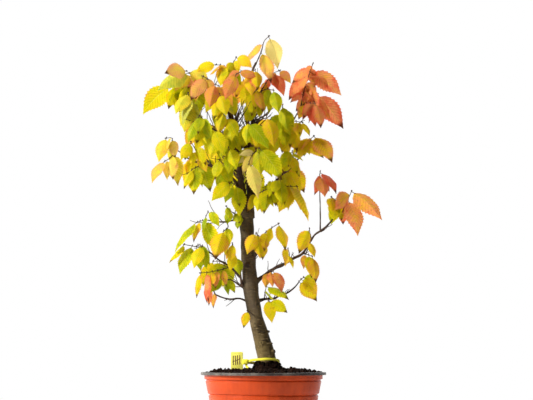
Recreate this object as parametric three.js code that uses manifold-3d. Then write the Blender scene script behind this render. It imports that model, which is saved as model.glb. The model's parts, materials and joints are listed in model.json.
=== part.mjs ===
// Japanese zelkova bonsai in autumn colour, growing in a round nursery pot.
// Millimetres, +Z up, +X to the right, -Y to the front. The origin is the middle of the pot's underside.
import * as THREE from "three";
import { mergeVertices } from "three/addons/utils/BufferGeometryUtils.js";
import Module from "manifold-3d";

const wasm = await Module();
wasm.setup();

// Space left between neighbouring pieces.
const clearance = 0.3;

// Pot: thin moulded plastic with a rolled rim, a shoulder below it and drain holes in a raised channel.
const pot = {
  height: 130,
  rimRadius: 85,
  rimDrop: 3.6,
  rimThickness: 1.8,
  lipRound: 0.7,
  neckRadius: 80.2,
  neckHeight: 121,
  neckLedge: 1.6,
  neckSlope: 0.8,
  shoulderRadius: 75.4,
  shoulderHeight: 101.5,
  shoulderStep: 1,
  footRadius: 61.5,
  footRound: 1,
  footRise: 1.2,
  wall: 1.5,
  floor: 1.6,
  channelInner: 31,
  channelOuter: 47,
  channelRise: 3,
  channelSlope: 1,
  drainHoles: 6,
  drainRadius: 4.5,
  drillLength: 12,
  drillSides: 8,
  segments: 24,
};

// Soil: heaped a few millimetres over the rim, with a dome round the trunk's foot. Its rings are the radii
// that the surface is drawn at, and the waves that make its lumps are in radians for each millimetre.
const soil = {
  edgeHeight: 127.6,
  edgeDrop: 1,
  middleHeight: 132,
  heapPower: 6,
  domeHeight: 13.5,
  domeRadius: 18,
  domePower: 6,
  rings: [77.6, 70, 56, 42, 30, 23, 16],
  bump: 1.1,
  broadWave: { x: 0.31, y: 0.27, start: 1.7 },
  slantWave: { x: 0.53, y: -0.61, start: 0.4, share: 0.6 },
  calmEdge: 6,
};

// Trunk: points up its middle as [x, y, z], with the radius at each.
const trunkLine = [
  [5, 0, 98],
  [6, 0, 118],
  [5.5, 0, 135],
  [3.2, 0, 153],
  [-1, 0, 170],
  [-7.5, 0, 194],
  [-12.2, 0, 214],
  [-15.6, 0, 231],
  [-18, 0, 256],
  [-20.3, 0, 280],
  [-22, 0, 312],
  [-23.6, 0, 337],
  [-23, 1, 352],
];
const trunkRadii = [10, 13, 13.2, 11.9, 11, 9.8, 10.1, 10.9, 10, 9.9, 9, 9.5, 8.8];

// The trunk isn't quite round: two and three low lobes wind up it. A limb has more sides when it is thick.
const trunkShape = {
  sides: 10,
  stepsPerPoint: 1.5,
  twoLobes: { height: 0.045, twist: 0.021 },
  threeLobes: { height: 0.035, twist: -0.034 },
};
const limbShape = { thickFrom: 5, thickSides: 7, thinSides: 5 };
const stubShape = { sides: 6, steps: 2, taper: 0.3 };

// Limbs that grow from the trunk in one piece with it, as [x, y, z] with a root and an end radius.
const limbs = {
  leftLeader: {
    path: [[-26, 0, 340], [-27, 0, 360], [-31, -3, 392], [-36, -5, 418], [-37, -7, 439], [-41, -8, 466],
      [-48, -8, 500], [-47, -7, 518], [-45, -6, 532]],
    radii: [7, 1.6],
  },
  rightLeader: {
    path: [[-20, 1, 340], [-18, 2, 362], [-20, 5, 391], [-20, 7, 418], [-18, 8, 452], [-13, 8, 493],
      [-15, 7, 527], [-15, 6, 542], [-10, 5, 553]],
    radii: [6.2, 1.3],
  },
  rightBough: {
    path: [[-16, 0, 248], [-3, -3, 258], [14, -7, 270], [25, -9, 275], [41, -11, 284], [54, -12, 292],
      [68, -12, 314], [77, -11, 321], [85, -10, 327], [98, -9, 341], [107, -8, 348]],
    radii: [3.4, 1],
  },
  rightLowBranch: {
    path: [[-14, 0, 224], [1, 6, 229], [14, 11, 230], [22, 14, 234], [33, 16, 238], [42, 17, 245],
      [48, 17, 252]],
    radii: [2.4, 0.9],
  },
  frontSpur: {
    path: [[-20, -2, 271], [-13, -8, 284], [-6, -14, 296], [-5, -16, 306]],
    radii: [2.8, 1.1],
  },
  leftLowTwig: {
    path: [[-12, 0, 220], [-27, 4, 228], [-35, 6, 230], [-45, 9, 229], [-55, 10, 231], [-65, 10, 235]],
    radii: [2, 0.9],
  },
  leftBackTwig: {
    path: [[-13, 2, 236], [-30, 10, 246], [-38, 14, 252], [-46, 17, 256]],
    radii: [2, 0.9],
  },
  leftRising: {
    path: [[-14, -3, 232], [-27, -6, 245], [-30, -9, 253], [-33, -12, 269], [-37, -14, 282]],
    radii: [3.2, 1.1],
  },
  leftReaching: {
    path: [[-31, -9.5, 258], [-43, -8, 271], [-52, -6, 277], [-62, -5, 283], [-71, -5, 291], [-78, -5, 295],
      [-87, -5, 299]],
    radii: [1.8, 0.9],
  },
  leftLevel: {
    path: [[-22, 0, 333], [-33, -2, 335], [-42, -3, 336], [-50, -4, 334], [-63, -5, 334], [-75, -6, 336]],
    radii: [2, 0.9],
  },
  leftUpper: {
    path: [[-27, 0, 371], [-34, -4, 381], [-43, -7, 394], [-59, -10, 404], [-72, -12, 410], [-84, -13, 412],
      [-92, -14, 415], [-103, -14, 420], [-113, -14, 428]],
    radii: [2.8, 0.9],
  },
  leftHigh: {
    path: [[-36, -5, 421], [-43, -9, 439], [-52, -12, 450], [-69, -16, 460], [-79, -18, 465], [-88, -18, 475],
      [-95, -17, 486]],
    radii: [2.8, 0.9],
  },
  leftCrest: {
    path: [[-41, -8, 462], [-48, -10, 482], [-58, -12, 492], [-69, -13, 503], [-71, -13, 514],
      [-72, -12.5, 521], [-79, -12, 525], [-88, -12, 528]],
    radii: [2.6, 0.9],
  },
  rightFan: {
    path: [[-22, 2, 366], [-8, 6, 376], [3, 7, 382], [13, 7, 387], [25, 6, 399], [36, 4, 410], [47, 2, 420],
      [54, 0, 433]],
    radii: [2.8, 0.9],
  },
  rightHigh: {
    path: [[-20, 5, 391], [-7, 4, 412], [12, 1, 432], [24, -1, 444], [33, -2, 458], [39, -3, 469],
      [46, -4, 482]],
    radii: [3.2, 0.9],
  },
};

// Short dead stubs and scars on the bark: place, direction, length and radius.
const stubs = [
  { at: [-2, -1, 184], toward: [9, -4, 1], radius: 1.4 },
  { at: [3, -2, 168], toward: [8, -6, 1], radius: 1.3 },
  { at: [5, -3, 157], toward: [9, -5, 1], radius: 2 },
  { at: [-24, -4, 273], toward: [2, -9, 3], radius: 2.6 },
];

// Leafy stems. Each grows from a limb, or from an earlier stem of the same node. Its leaves stand along it
// from the share "first" of its length to its end. size is the leaf's length in mm and tone runs from
// 0 green to 1 crimson, both from the first leaf to the last. lean is how far each leaf in turn hangs
// from straight down, in degrees, + to the right.
const stems = [
  {
    node: "top_tip",
    path: [[-10, 5, 552], [-3, 3, 568], [1, 1, 582], [8, 0, 589]],
    leaves: 4,
    size: [16, 41, 36, 44],
    tone: [0.55, 0.6, 0.62, 0.45],
    lean: [10, 14, -30, 20],
    first: 0.1,
  },
  {
    node: "top_arch",
    path: [[-45, -6, 532], [-43, -10, 546], [-37, -14, 558]],
    leaves: 4,
    size: [24, 20, 22, 27],
    tone: [0.2, 0.1, 0.3, 0.5],
    lean: [38, 20, -25, 56],
    first: 0.25,
  },
  {
    node: "top_arch",
    path: [[-44, -8, 539], [-55, -15, 546], [-65, -18, 547]],
    leaves: 4,
    size: [36, 36, 26, 30],
    tone: [0.25, 0.3, 0.65, 0.42],
    lean: [4, -6, -30, -50],
    first: 0.3,
  },
  {
    node: "top_front",
    path: [[-15, 7, 527], [-16, -16, 536], [-11, -44, 537]],
    leaves: 4,
    size: [34, 38, 30, 28],
    tone: [0.3, 0.5, 0.72, 0.45],
    lean: [-10, -4, 22, 12],
    first: 0.25,
  },
  {
    node: "top_front",
    path: [[-16, -14, 535], [-27, -34, 537], [-37, -54, 529]],
    leaves: 3,
    size: [32, 20, 41],
    tone: [0.7, 0.75, 0.76],
    lean: [10, -72, -22],
    first: 0.35,
  },
  {
    node: "top_brown",
    path: [[-48, -8, 497], [-58, -26, 514], [-65, -42, 518]],
    leaves: 4,
    size: [36, 36, 34, 34],
    tone: [0.25, 0.3, 0.55, 0.68],
    lean: [12, -14, 10, -12],
    first: 0.25,
  },
  {
    node: "top_back",
    path: [[-14, 8, 516], [-24, 36, 533], [-32, 62, 530]],
    leaves: 5,
    size: [34, 40],
    tone: [0.35, 0.7],
    lean: [-25, 25],
    first: 0.25,
  },
  {
    node: "top_red",
    path: [[-13, 8, 500], [0, 12, 520], [11, 12, 537], [23, 10, 543]],
    leaves: 5,
    size: [32, 34, 18, 34, 24],
    tone: [0.4, 0.62, 0.9, 0.97, 0.7],
    lean: [-10, 6, -26, 30, 44],
    first: 0.35,
  },
  {
    node: "centre_high",
    path: [[-13, 8, 493], [-14, -18, 507], [-9, -44, 510]],
    leaves: 4,
    size: [34, 32, 36, 30],
    tone: [0.2, 0.15, 0.25, 0.6],
    lean: [-18, 14, -4, 18],
    first: 0.2,
  },
  {
    node: "centre_high",
    path: [[-14, -12, 504], [2, -28, 512], [14, -46, 509]],
    leaves: 3,
    size: [34, 36, 34],
    tone: [0.15, 0.2, 0.12],
    lean: [-14, 4, 16],
    first: 0.35,
  },
  {
    node: "crest_high",
    path: [[-88, -12, 528], [-97, -13, 533], [-105, -14, 539]],
    leaves: 4,
    size: [20, 30, 52, 46],
    tone: [1, 0.6, 0.3, 0.72],
    lean: [25, -47, -56, -36],
    first: 0.3,
  },
  {
    node: "crest_high",
    path: [[-92, -12.5, 530], [-84, -26, 531], [-75, -36, 525]],
    leaves: 3,
    size: [34, 34, 36],
    tone: [0.5, 0.55, 0.68],
    lean: [-8, -18, -38],
    first: 0.35,
  },
  {
    node: "crest_low",
    path: [[-80, -12, 524], [-97, -3, 527], [-116, 2, 523], [-129, 4, 518]],
    leaves: 5,
    size: [46, 50, 42, 38, 52],
    tone: [0.3, 0.45, 0.42, 0.4, 0.48],
    lean: [-8, -16, -18, -24, -45],
    first: 0.2,
  },
  {
    node: "left_upper",
    path: [[-95, -17, 486], [-100, -20, 498], [-102, -26, 508]],
    leaves: 4,
    size: [42, 40, 46, 38],
    tone: [0.25, 0.3, 0.2, 0.35],
    lean: [12, -16, -6, -20],
    first: 0.15,
  },
  {
    node: "left_green",
    path: [[-78, -18, 465], [-82, -34, 471], [-86, -46, 475]],
    leaves: 4,
    size: [34, 36, 34, 40],
    tone: [0.15, 0.2, 0.1, 0.03],
    lean: [14, -10, 22, -24],
    first: 0.2,
  },
  {
    node: "left_olive",
    path: [[-56, -12, 490], [-56, -32, 496], [-59, -48, 504]],
    leaves: 4,
    size: [34, 32],
    tone: [0.15, 0.35],
    lean: [-14, 14],
    first: 0.2,
  },
  {
    node: "left_back",
    path: [[-52, -12, 450], [-70, 18, 467], [-89, 48, 478]],
    leaves: 5,
    size: [36, 42],
    tone: [0.2, 0.5],
    lean: [-28, 12],
    first: 0.25,
  },
  {
    node: "far_left",
    path: [[-113, -14, 428], [-124, -14, 436], [-124, -15, 447], [-133, -16, 447]],
    leaves: 3,
    size: [24, 29, 36],
    tone: [0.4, 0.55, 0.52],
    lean: [12, 2, -19],
    first: 0.4,
  },
  {
    node: "far_left",
    path: [[-119, -14, 431.5], [-125, -22, 421], [-134, -28, 414]],
    leaves: 3,
    size: [44, 34, 34],
    tone: [0.38, 0.4, 0.62],
    lean: [9, -8, -30],
    first: 0.3,
  },
  {
    node: "left_mid",
    path: [[-84, -13, 412], [-88, -28, 408], [-97, -38, 402]],
    leaves: 4,
    size: [38, 34, 38, 28],
    tone: [0.1, 0.15, 0.12, 0.3],
    lean: [20, -6, 12, -20],
    first: 0.25,
  },
  {
    node: "left_mid",
    path: [[-87, -25, 409.5], [-91, -32, 428], [-98, -42, 440]],
    leaves: 3,
    size: [27, 28, 28],
    tone: [0.45, 0.25, 0.3],
    lean: [32, 38, -28],
    first: 0.4,
  },
  {
    node: "left_mid_back",
    path: [[-70, -12, 409], [-81, 14, 421], [-97, 40, 426]],
    leaves: 5,
    size: [34, 38],
    tone: [0.2, 0.45],
    lean: [-25, 14],
    first: 0.3,
  },
  {
    node: "left_inner",
    path: [[-43, -7, 394], [-51, -26, 407], [-60, -42, 416]],
    leaves: 4,
    size: [30, 28, 28, 27],
    tone: [0.1, 0.05, 0.15, 0.2],
    lean: [10, -25, 20, -12],
    first: 0.25,
  },
  {
    node: "left_under",
    path: [[-31, -2, 378], [-37, -18, 382], [-44, -32, 386]],
    leaves: 4,
    size: [42, 30, 28, 38],
    tone: [0.25, 0.15, 0.1, 0.3],
    lean: [4, -6, -24, -48],
    first: 0.25,
  },
  {
    node: "left_tuft",
    path: [[-28, -1, 339], [-41, -5, 346], [-51, -8, 355]],
    leaves: 4,
    size: [24, 22, 20, 18],
    tone: [0.1, 0.35],
    lean: [-16, 18],
    first: 0.25,
  },
  {
    node: "wing",
    path: [[-75, -6, 336], [-84, -8, 335], [-90, -9, 333]],
    leaves: 3,
    size: [46, 30, 52],
    tone: [0.15, 0.5, 0.12],
    lean: [24, -12, -31],
    first: 0.5,
  },
  {
    node: "wing",
    path: [[-79, -7, 336], [-78, -12, 341], [-75, -18, 347]],
    leaves: 2,
    size: [20, 26],
    tone: [0.05, 0.12],
    lean: [-12, 36],
    first: 0.4,
  },
  {
    node: "wing_drop",
    path: [[-50, -4, 334], [-48, -16, 326], [-54, -28, 320]],
    leaves: 4,
    size: [26, 24, 34, 42],
    tone: [0.1, 0.08, 0.3, 0.45],
    lean: [24, 15, -2, -12],
    first: 0.25,
  },
  {
    node: "low_left_gold",
    path: [[-37, -14, 282], [-39, -22, 293], [-42, -28, 304]],
    leaves: 4,
    size: [24, 28, 18, 27],
    tone: [0.2, 0.6, 0.75, 0.5],
    lean: [8, -15, -34, -8],
    first: 0.15,
  },
  {
    node: "low_left_end",
    path: [[-87, -5, 299], [-97, -7, 301], [-108, -8, 303]],
    leaves: 4,
    size: [32, 46, 20, 34],
    tone: [0.2, 0.38, 0.5, 0.5],
    lean: [12, -24, -10, -28],
    first: 0.2,
  },
  {
    node: "low_left_end",
    path: [[-91, -6, 300], [-88, -16, 302], [-82, -26, 300]],
    leaves: 3,
    size: [30, 34, 34],
    tone: [0.15, 0.15, 0.55],
    lean: [33, 14, -22],
    first: 0.4,
  },
  {
    node: "low_left_twig",
    path: [[-43, -8, 273], [-56, -15, 269], [-73, -19, 265], [-86, -20, 264]],
    leaves: 5,
    size: [24, 28, 26, 42, 34],
    tone: [0.6, 0.65, 0.55, 0.85, 0.5],
    lean: [10, -5, 8, 6, -10],
    first: 0.3,
  },
  {
    node: "low_left_pink",
    path: [[-65, 10, 235], [-71, 4, 244], [-78, 0, 250]],
    leaves: 3,
    size: [32, 24, 27],
    tone: [0.7, 0.8, 0.9],
    lean: [10, -6, 4],
    first: 0.2,
  },
  {
    node: "low_left_green",
    path: [[-46, 17, 256], [-51, 2, 256], [-56, -12, 256]],
    leaves: 3,
    size: [20, 22, 25],
    tone: [0.1, 0.05, 0.05],
    lean: [22, 8, -44],
    first: 0.35,
  },
  {
    node: "low_left_back",
    path: [[-46, -6, 273], [-56, 20, 280], [-70, 44, 282]],
    leaves: 5,
    size: [34, 38],
    tone: [0.35, 0.6],
    lean: [-24, 14],
    first: 0.3,
  },
  {
    node: "centre_green",
    path: [[-20, 8, 459], [-20, -38, 467], [-20, -70, 462]],
    leaves: 4,
    size: [36, 34, 30, 44],
    tone: [0.15, 0.1, 0.2, 0.06],
    lean: [-16, 12, -8, 34],
    first: 0.4,
  },
  {
    node: "centre_long",
    path: [[-18, 7, 432], [-12, -32, 436], [-5, -58, 429]],
    leaves: 4,
    size: [38, 42, 44, 54],
    tone: [0.2, 0.18, 0.22, 0.14],
    lean: [-6, 24, 10, 36],
    first: 0.35,
  },
  {
    node: "centre_pale",
    path: [[-22, 5, 407], [-10, -46, 426], [-16, -70, 418], [-20, -80, 406]],
    leaves: 4,
    size: [25, 20, 29, 49],
    tone: [0.48, 0.5, 0.46, 0.42],
    lean: [-66, -82, -40, 14],
    first: 0.42,
  },
  {
    node: "centre_left",
    path: [[-38, -8, 445], [-47, -28, 462], [-53, -48, 480]],
    leaves: 5,
    size: [36, 36, 34, 32, 30],
    tone: [0.15, 0.35],
    lean: [-16, 22],
    first: 0.25,
  },
  {
    node: "centre_left",
    path: [[-43, -18, 453], [-55, -36, 452], [-67, -54, 455]],
    leaves: 4,
    size: [38, 34],
    tone: [0.1, 0.3],
    lean: [-18, 14],
    first: 0.3,
  },
  {
    node: "centre_under",
    path: [[-35, -5, 414], [-43, -28, 421], [-47, -46, 432]],
    leaves: 4,
    size: [30, 30],
    tone: [0.05, 0.25],
    lean: [-20, 18],
    first: 0.25,
  },
  {
    node: "centre_back",
    path: [[-22, 5, 384], [-18, 42, 402], [-24, 76, 418]],
    leaves: 5,
    size: [36, 42],
    tone: [0.1, 0.35],
    lean: [-28, 28],
    first: 0.35,
  },
  {
    node: "back_left",
    path: [[-33, -4, 407], [-46, 36, 429], [-62, 70, 446]],
    leaves: 5,
    size: [36, 42],
    tone: [0.15, 0.45],
    lean: [-26, 22],
    first: 0.35,
  },
  {
    node: "back_right",
    path: [[-18, 8, 452], [-2, 44, 470], [12, 74, 484]],
    leaves: 5,
    size: [36, 42],
    tone: [0.2, 0.6],
    lean: [-22, 26],
    first: 0.35,
  },
  {
    node: "shoot",
    path: [[46, -4, 482], [50, -3, 488], [56, 0, 516], [63, 2, 538], [68, 3, 552]],
    leaves: 5,
    size: [22, 40, 37, 55, 29],
    tone: [0.92, 0.75, 0.8, 0.82, 0.75],
    lean: [-30, 10, -44, 54, -22],
    first: 0.39,
  },
  {
    node: "shoot",
    path: [[49.5, -3, 487.5], [58, 8, 499], [75, 16, 511]],
    leaves: 3,
    size: [22, 38, 55],
    tone: [0.55, 0.78, 0.86],
    lean: [-18, 46, 38],
    first: 0.45,
  },
  {
    node: "shoot",
    path: [[52, 1, 490.5], [60, -12, 495], [70, -22, 494]],
    leaves: 3,
    size: [30, 33, 35],
    tone: [0.65, 0.95, 0.78],
    lean: [22, 10, 14],
    first: 0.45,
  },
  {
    node: "right_gold",
    path: [[33, -2, 458], [40, -20, 469], [53, -32, 467]],
    leaves: 4,
    size: [42, 34, 26, 22],
    tone: [0.35, 0.3, 0.5, 0.42],
    lean: [-8, -2, 12, 26],
    first: 0.2,
  },
  {
    node: "right_olive",
    path: [[24, -1, 444], [24, -28, 470], [26, -46, 490]],
    leaves: 4,
    size: [36, 34],
    tone: [0.2, 0.12],
    lean: [-16, 10],
    first: 0.3,
  },
  {
    node: "right_front",
    path: [[-7, 4, 412], [-2, -40, 451], [5, -64, 474]],
    leaves: 4,
    size: [38, 36, 34, 42],
    tone: [0.2, 0.3, 0.35, 0.45],
    lean: [-16, 16, -10, 14],
    first: 0.35,
  },
  {
    node: "right_fan",
    path: [[54, 0, 433], [61, -4, 444], [69, -6, 451]],
    leaves: 4,
    size: [16, 31, 38, 51],
    tone: [0.3, 0.42, 0.52, 0.66],
    lean: [-10, 50, 26, 41],
    first: 0.15,
  },
  {
    node: "right_fringe",
    path: [[36, 4, 410], [40, -12, 422], [39, -24, 429]],
    leaves: 3,
    size: [26, 24, 29],
    tone: [0.3, 0.35, 0.2],
    lean: [24, 6, -34],
    first: 0.35,
  },
  {
    node: "right_yellow",
    path: [[13, 7, 387], [28, 0, 383], [46, -6, 382]],
    leaves: 4,
    size: [30, 36, 40, 56],
    tone: [0.2, 0.4, 0.42, 0.4],
    lean: [-6, 6, 10, 24],
    first: 0.3,
  },
  {
    node: "right_green",
    path: [[-2, 7, 379], [9, -16, 386], [24, -34, 390]],
    leaves: 5,
    size: [32, 36],
    tone: [0.15, 0.2],
    lean: [-12, 16],
    first: 0.3,
  },
  {
    node: "right_under",
    path: [[-16, 5, 371], [-5, -16, 373], [7, -30, 378]],
    leaves: 4,
    size: [28, 34],
    tone: [0.35, 0.22],
    lean: [-22, 10],
    first: 0.3,
  },
  {
    node: "right_back",
    path: [[25, 6, 399], [33, 36, 407], [39, 64, 418]],
    leaves: 5,
    size: [36, 40],
    tone: [0.3, 0.6],
    lean: [-14, 26],
    first: 0.3,
  },
  {
    node: "outer_shoot",
    path: [[77, -11, 322], [77, -11, 351], [76, -12, 390], [77, -22, 402]],
    leaves: 3,
    size: [15, 36, 38],
    tone: [0.9, 0.78, 0.98],
    lean: [14, -12, 33],
    first: 0.84,
  },
  {
    node: "outer_tip",
    path: [[107, -8, 348], [112, -8, 358], [120, -8, 376]],
    leaves: 3,
    size: [14, 50, 58],
    tone: [0.9, 0.76, 0.72],
    lean: [-20, 15, 44],
    first: 0.15,
  },
  {
    node: "outer_tip",
    path: [[110, -8, 353], [101, -5, 361], [92, -2, 368]],
    leaves: 3,
    size: [30, 33, 28],
    tone: [0.2, 0.3, 0.48],
    lean: [4, -10, 10],
    first: 0.45,
  },
  {
    node: "right_low_pair",
    path: [[52, -12, 290], [59, -18, 289], [66, -24, 286]],
    leaves: 3,
    size: [20, 32, 38],
    tone: [0.65, 0.3, 0.55],
    lean: [-10, 4, 10],
    first: 0.3,
  },
  {
    node: "right_low_pair",
    path: [[57, -17, 289], [63, -24, 306], [62, -28, 324]],
    leaves: 2,
    size: [22, 38],
    tone: [0.5, 0.45],
    lean: [16, -14],
    first: 0.5,
  },
  {
    node: "right_low_mid",
    path: [[32, -10, 279], [35, -17, 289], [33, -23, 297]],
    leaves: 2,
    size: [20, 31],
    tone: [0.4, 0.5],
    lean: [14, -20],
    first: 0.5,
  },
  {
    node: "mid_cluster",
    path: [[-5, -16, 305], [3, -20, 319], [21, -22, 331]],
    leaves: 4,
    size: [32, 34, 24, 38],
    tone: [0.4, 0.45, 0.38, 0.42],
    lean: [-2, -5, -14, 14],
    first: 0.2,
  },
  {
    node: "mid_cluster",
    path: [[-3, -17, 310], [-9, -28, 316], [-10, -38, 317]],
    leaves: 3,
    size: [32, 34, 30],
    tone: [0.5, 0.45, 0.52],
    lean: [6, -2, -21],
    first: 0.3,
  },
  {
    node: "low_right_red",
    path: [[3, -5, 262], [9, -14, 267], [13, -22, 266]],
    leaves: 3,
    size: [22, 24, 31],
    tone: [0.65, 0.72, 0.8],
    lean: [-8, 6, 20],
    first: 0.3,
  },
  {
    node: "low_right_green",
    path: [[1, 6, 229], [2, -7, 238], [4, -16, 246]],
    leaves: 2,
    size: [24, 40],
    tone: [0.12, 0.08],
    lean: [20, 46],
    first: 0.5,
  },
  {
    node: "low_right_green",
    path: [[2, -5, 236], [5, -14, 229], [8, -22, 225]],
    leaves: 3,
    size: [20, 30, 28],
    tone: [0.15, 0.4, 0.25],
    lean: [60, 8, 58],
    first: 0.35,
  },
  {
    node: "low_right_end",
    path: [[47, 17, 251], [51, 14, 256], [55, 12, 259]],
    leaves: 3,
    size: [34, 30, 36],
    tone: [0.42, 0.45, 0.15],
    lean: [42, 22, 34],
    first: 0.2,
  },
  {
    node: "low_trunk",
    path: [[-9, -4, 203], [-17, -14, 210], [-22, -20, 213]],
    leaves: 1,
    size: [22],
    tone: [0.42],
    lean: [-12],
    first: 0.75,
  },
];

const stemShape = { sides: 3, endRadius: 0.7, radiusPerLength: 0.008 };

// A leaf's form, as shares of its length except for the stalk's half width, sink, lift and guard in mm.
const leafShape = {
  widthShare: 0.27,
  broadPlace: 0.8,
  broadPower: 0.75,
  tipDraw: 0.5,
  tipPower: 4,
  petioleShare: 0.07,
  petioleHalf: 0.7,
  rootSink: 0.3,
  ribLift: 0.6,
  upwardPull: 1.5,
  guardStart: 2.3,
  toothOut: 1.03,
  toothIn: 0.9,
};

// How a leaf hangs. Angles are in degrees, and what varies is the whole spread about the middle value.
const leafStance = {
  lastPlace: 0.96,
  lengthVaries: 0.08,
  leanVaries: 8,
  outward: 14,
  outwardVaries: 22,
  crownMiddle: -25,
  turnShare: 0.4,
  turnVaries: 46,
  arch: 0.18,
  archVaries: 0.16,
  fold: 0.275,
  foldVaries: 0.5,
  widthVaries: 0.2,
  tries: 14,
  wander: 14,
  wanderPerTry: 5,
};

// Colours of the leaves from green through yellow, gold and salmon to crimson.
const autumn = ["#9fb018", "#c9cc1e", "#ecd42c", "#dda42c", "#e49a5c", "#dd6c44", "#c8413a"];

const materials = {
  pot: new THREE.MeshStandardMaterial({ color: "#cf5a31", roughness: 0.45, metalness: 0 }),
  soil: new THREE.MeshStandardMaterial({ color: "#1d1310", roughness: 1, metalness: 0 }),
  bark: new THREE.MeshStandardMaterial({ color: "#5d4a30", roughness: 0.85, metalness: 0 }),
  tie: new THREE.MeshStandardMaterial({ color: "#f6ee3c", roughness: 0.5, metalness: 0 }),
};

// The same draw every time: a fraction of 1 for a stem, a leaf on it, a quantity and a try.
const drawSteps = { stem: 12.9898, leaf: 78.233, quantity: 37.719, attempt: 9.151, scatter: 43758.5453 };

function draw(stemIndex, leafIndex, quantity, attempt) {
  const d = drawSteps;
  const seed = stemIndex * d.stem + leafIndex * d.leaf + quantity * d.quantity + attempt * d.attempt;
  const mixed = Math.sin(seed) * d.scatter;
  return mixed - Math.floor(mixed);
}

// Which step of a list a share of its length falls in, and how far along that step.
function stepOf(list, share) {
  const justUnderOne = 1 - 1e-9;
  const place = Math.min(share, justUnderOne) * (list.length - 1);
  return [Math.floor(place), place - Math.floor(place)];
}

function mix(list, share) {
  const [step, rest] = stepOf(list, share);
  return list.length === 1 ? list[0] : list[step] + (list[step + 1] - list[step]) * rest;
}

function vector(point) {
  return new THREE.Vector3(point[0], point[1], point[2]);
}

function curveThrough(points) {
  return new THREE.CatmullRomCurve3(points.map(vector), false, "catmullrom", 0.5);
}

// A closed three.js geometry as a solid that can be cut and joined.
function solidOf(geometry) {
  const bare = geometry.clone();
  bare.deleteAttribute("normal");
  bare.deleteAttribute("uv");
  const merged = mergeVertices(bare, 1e-4);
  return new wasm.Manifold(new wasm.Mesh({
    numProp: 3,
    vertProperties: Float32Array.from(merged.attributes.position.array),
    triVerts: Uint32Array.from(merged.index.array),
  }));
}

function geometryOf(solid) {
  const mesh = solid.getMesh();
  const geometry = new THREE.BufferGeometry();
  geometry.setAttribute("position", new THREE.BufferAttribute(Float32Array.from(mesh.vertProperties), 3));
  geometry.setIndex(new THREE.BufferAttribute(Uint32Array.from(mesh.triVerts), 1));
  geometry.computeVertexNormals();
  return geometry;
}

function joined(solids) {
  return solids.slice(1).reduce((whole, next) => whole.add(next), solids[0]);
}

function largestBody(solid) {
  return solid.decompose().reduce((best, next) => (next.volume() > best.volume() ? next : best));
}

// A tube along a smooth line. It is drawn as a thin one, and each ring is then opened out to its own radius.
function taperedTube(points, radiusAt, sides, steps) {
  const thin = 0.2;
  const curve = curveThrough(points);
  const section = new THREE.Shape();
  for (let side = 0; side < sides; side += 1) {
    const angle = (side / sides) * 2 * Math.PI;
    const corner = [thin * Math.cos(angle), thin * Math.sin(angle)];
    if (side === 0) {
      section.moveTo(...corner);
    } else {
      section.lineTo(...corner);
    }
  }
  const geometry = new THREE.ExtrudeGeometry(section, { steps, extrudePath: curve, bevelEnabled: false });
  const centres = curve.getSpacedPoints(steps);
  const position = geometry.attributes.position;
  const vertex = new THREE.Vector3();
  for (let i = 0; i < position.count; i += 1) {
    vertex.fromBufferAttribute(position, i);
    const distances = centres.map((centre) => centre.distanceTo(vertex));
    const ring = distances.indexOf(Math.min(...distances));
    const offset = vertex.sub(centres[ring]).normalize();
    const radius = radiusAt(ring / steps, offset, centres[ring]);
    const place = centres[ring].clone().addScaledVector(offset, radius);
    position.setXYZ(i, place.x, place.y, place.z);
  }
  return geometry;
}

// The pot's underside, outer face and lip as [radius, height], from the middle of the underside.
function potOutside() {
  const p = pot;
  const rimUnder = p.height - p.rimThickness;
  return [
    [0, 0],
    [p.channelInner - p.channelSlope, 0],
    [p.channelInner + p.channelSlope, p.channelRise],
    [p.channelOuter - p.channelSlope, p.channelRise],
    [p.channelOuter + p.channelSlope, 0],
    [p.footRadius - p.footRound, 0],
    [p.footRadius, p.footRise],
    [p.shoulderRadius - p.shoulderStep, p.shoulderHeight - p.shoulderStep],
    [p.shoulderRadius, p.shoulderHeight],
    [p.neckRadius - p.neckLedge, p.neckHeight - p.neckSlope],
    [p.neckRadius, p.neckHeight],
    [p.neckRadius, rimUnder],
    [p.rimRadius - p.wall, rimUnder],
    [p.rimRadius - p.wall, p.height - p.rimDrop],
    [p.rimRadius, p.height - p.rimDrop],
    [p.rimRadius, p.height - p.lipRound],
    [p.rimRadius - p.lipRound, p.height],
    [p.neckRadius - p.wall + p.lipRound, p.height],
    [p.neckRadius - p.wall, p.height - p.lipRound],
  ];
}

// Its inner face down to the foot, the corner there, and the floor to its middle.
function potInside() {
  const p = pot;
  const raised = p.channelRise + p.floor;
  return {
    wall: [
      [p.neckRadius - p.wall, p.neckHeight],
      [p.neckRadius - p.wall - p.neckLedge, p.neckHeight - p.neckSlope],
      [p.shoulderRadius - p.wall, p.shoulderHeight],
      [p.shoulderRadius - p.wall - p.shoulderStep, p.shoulderHeight - p.shoulderStep],
      [p.footRadius - p.wall, p.floor + p.footRise],
    ],
    corner: [p.footRadius - p.wall - p.footRound, p.floor],
    floor: [
      [p.channelOuter + p.channelSlope, p.floor],
      [p.channelOuter - p.channelSlope, raised],
      [p.channelInner + p.channelSlope, raised],
      [p.channelInner - p.channelSlope, p.floor],
      [0, p.floor],
    ],
  };
}

function lathe(profile, segments) {
  const geometry = new THREE.LatheGeometry(profile.map(([r, z]) => new THREE.Vector2(r, z)), segments);
  geometry.rotateX(Math.PI / 2);
  return geometry;
}

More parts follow.
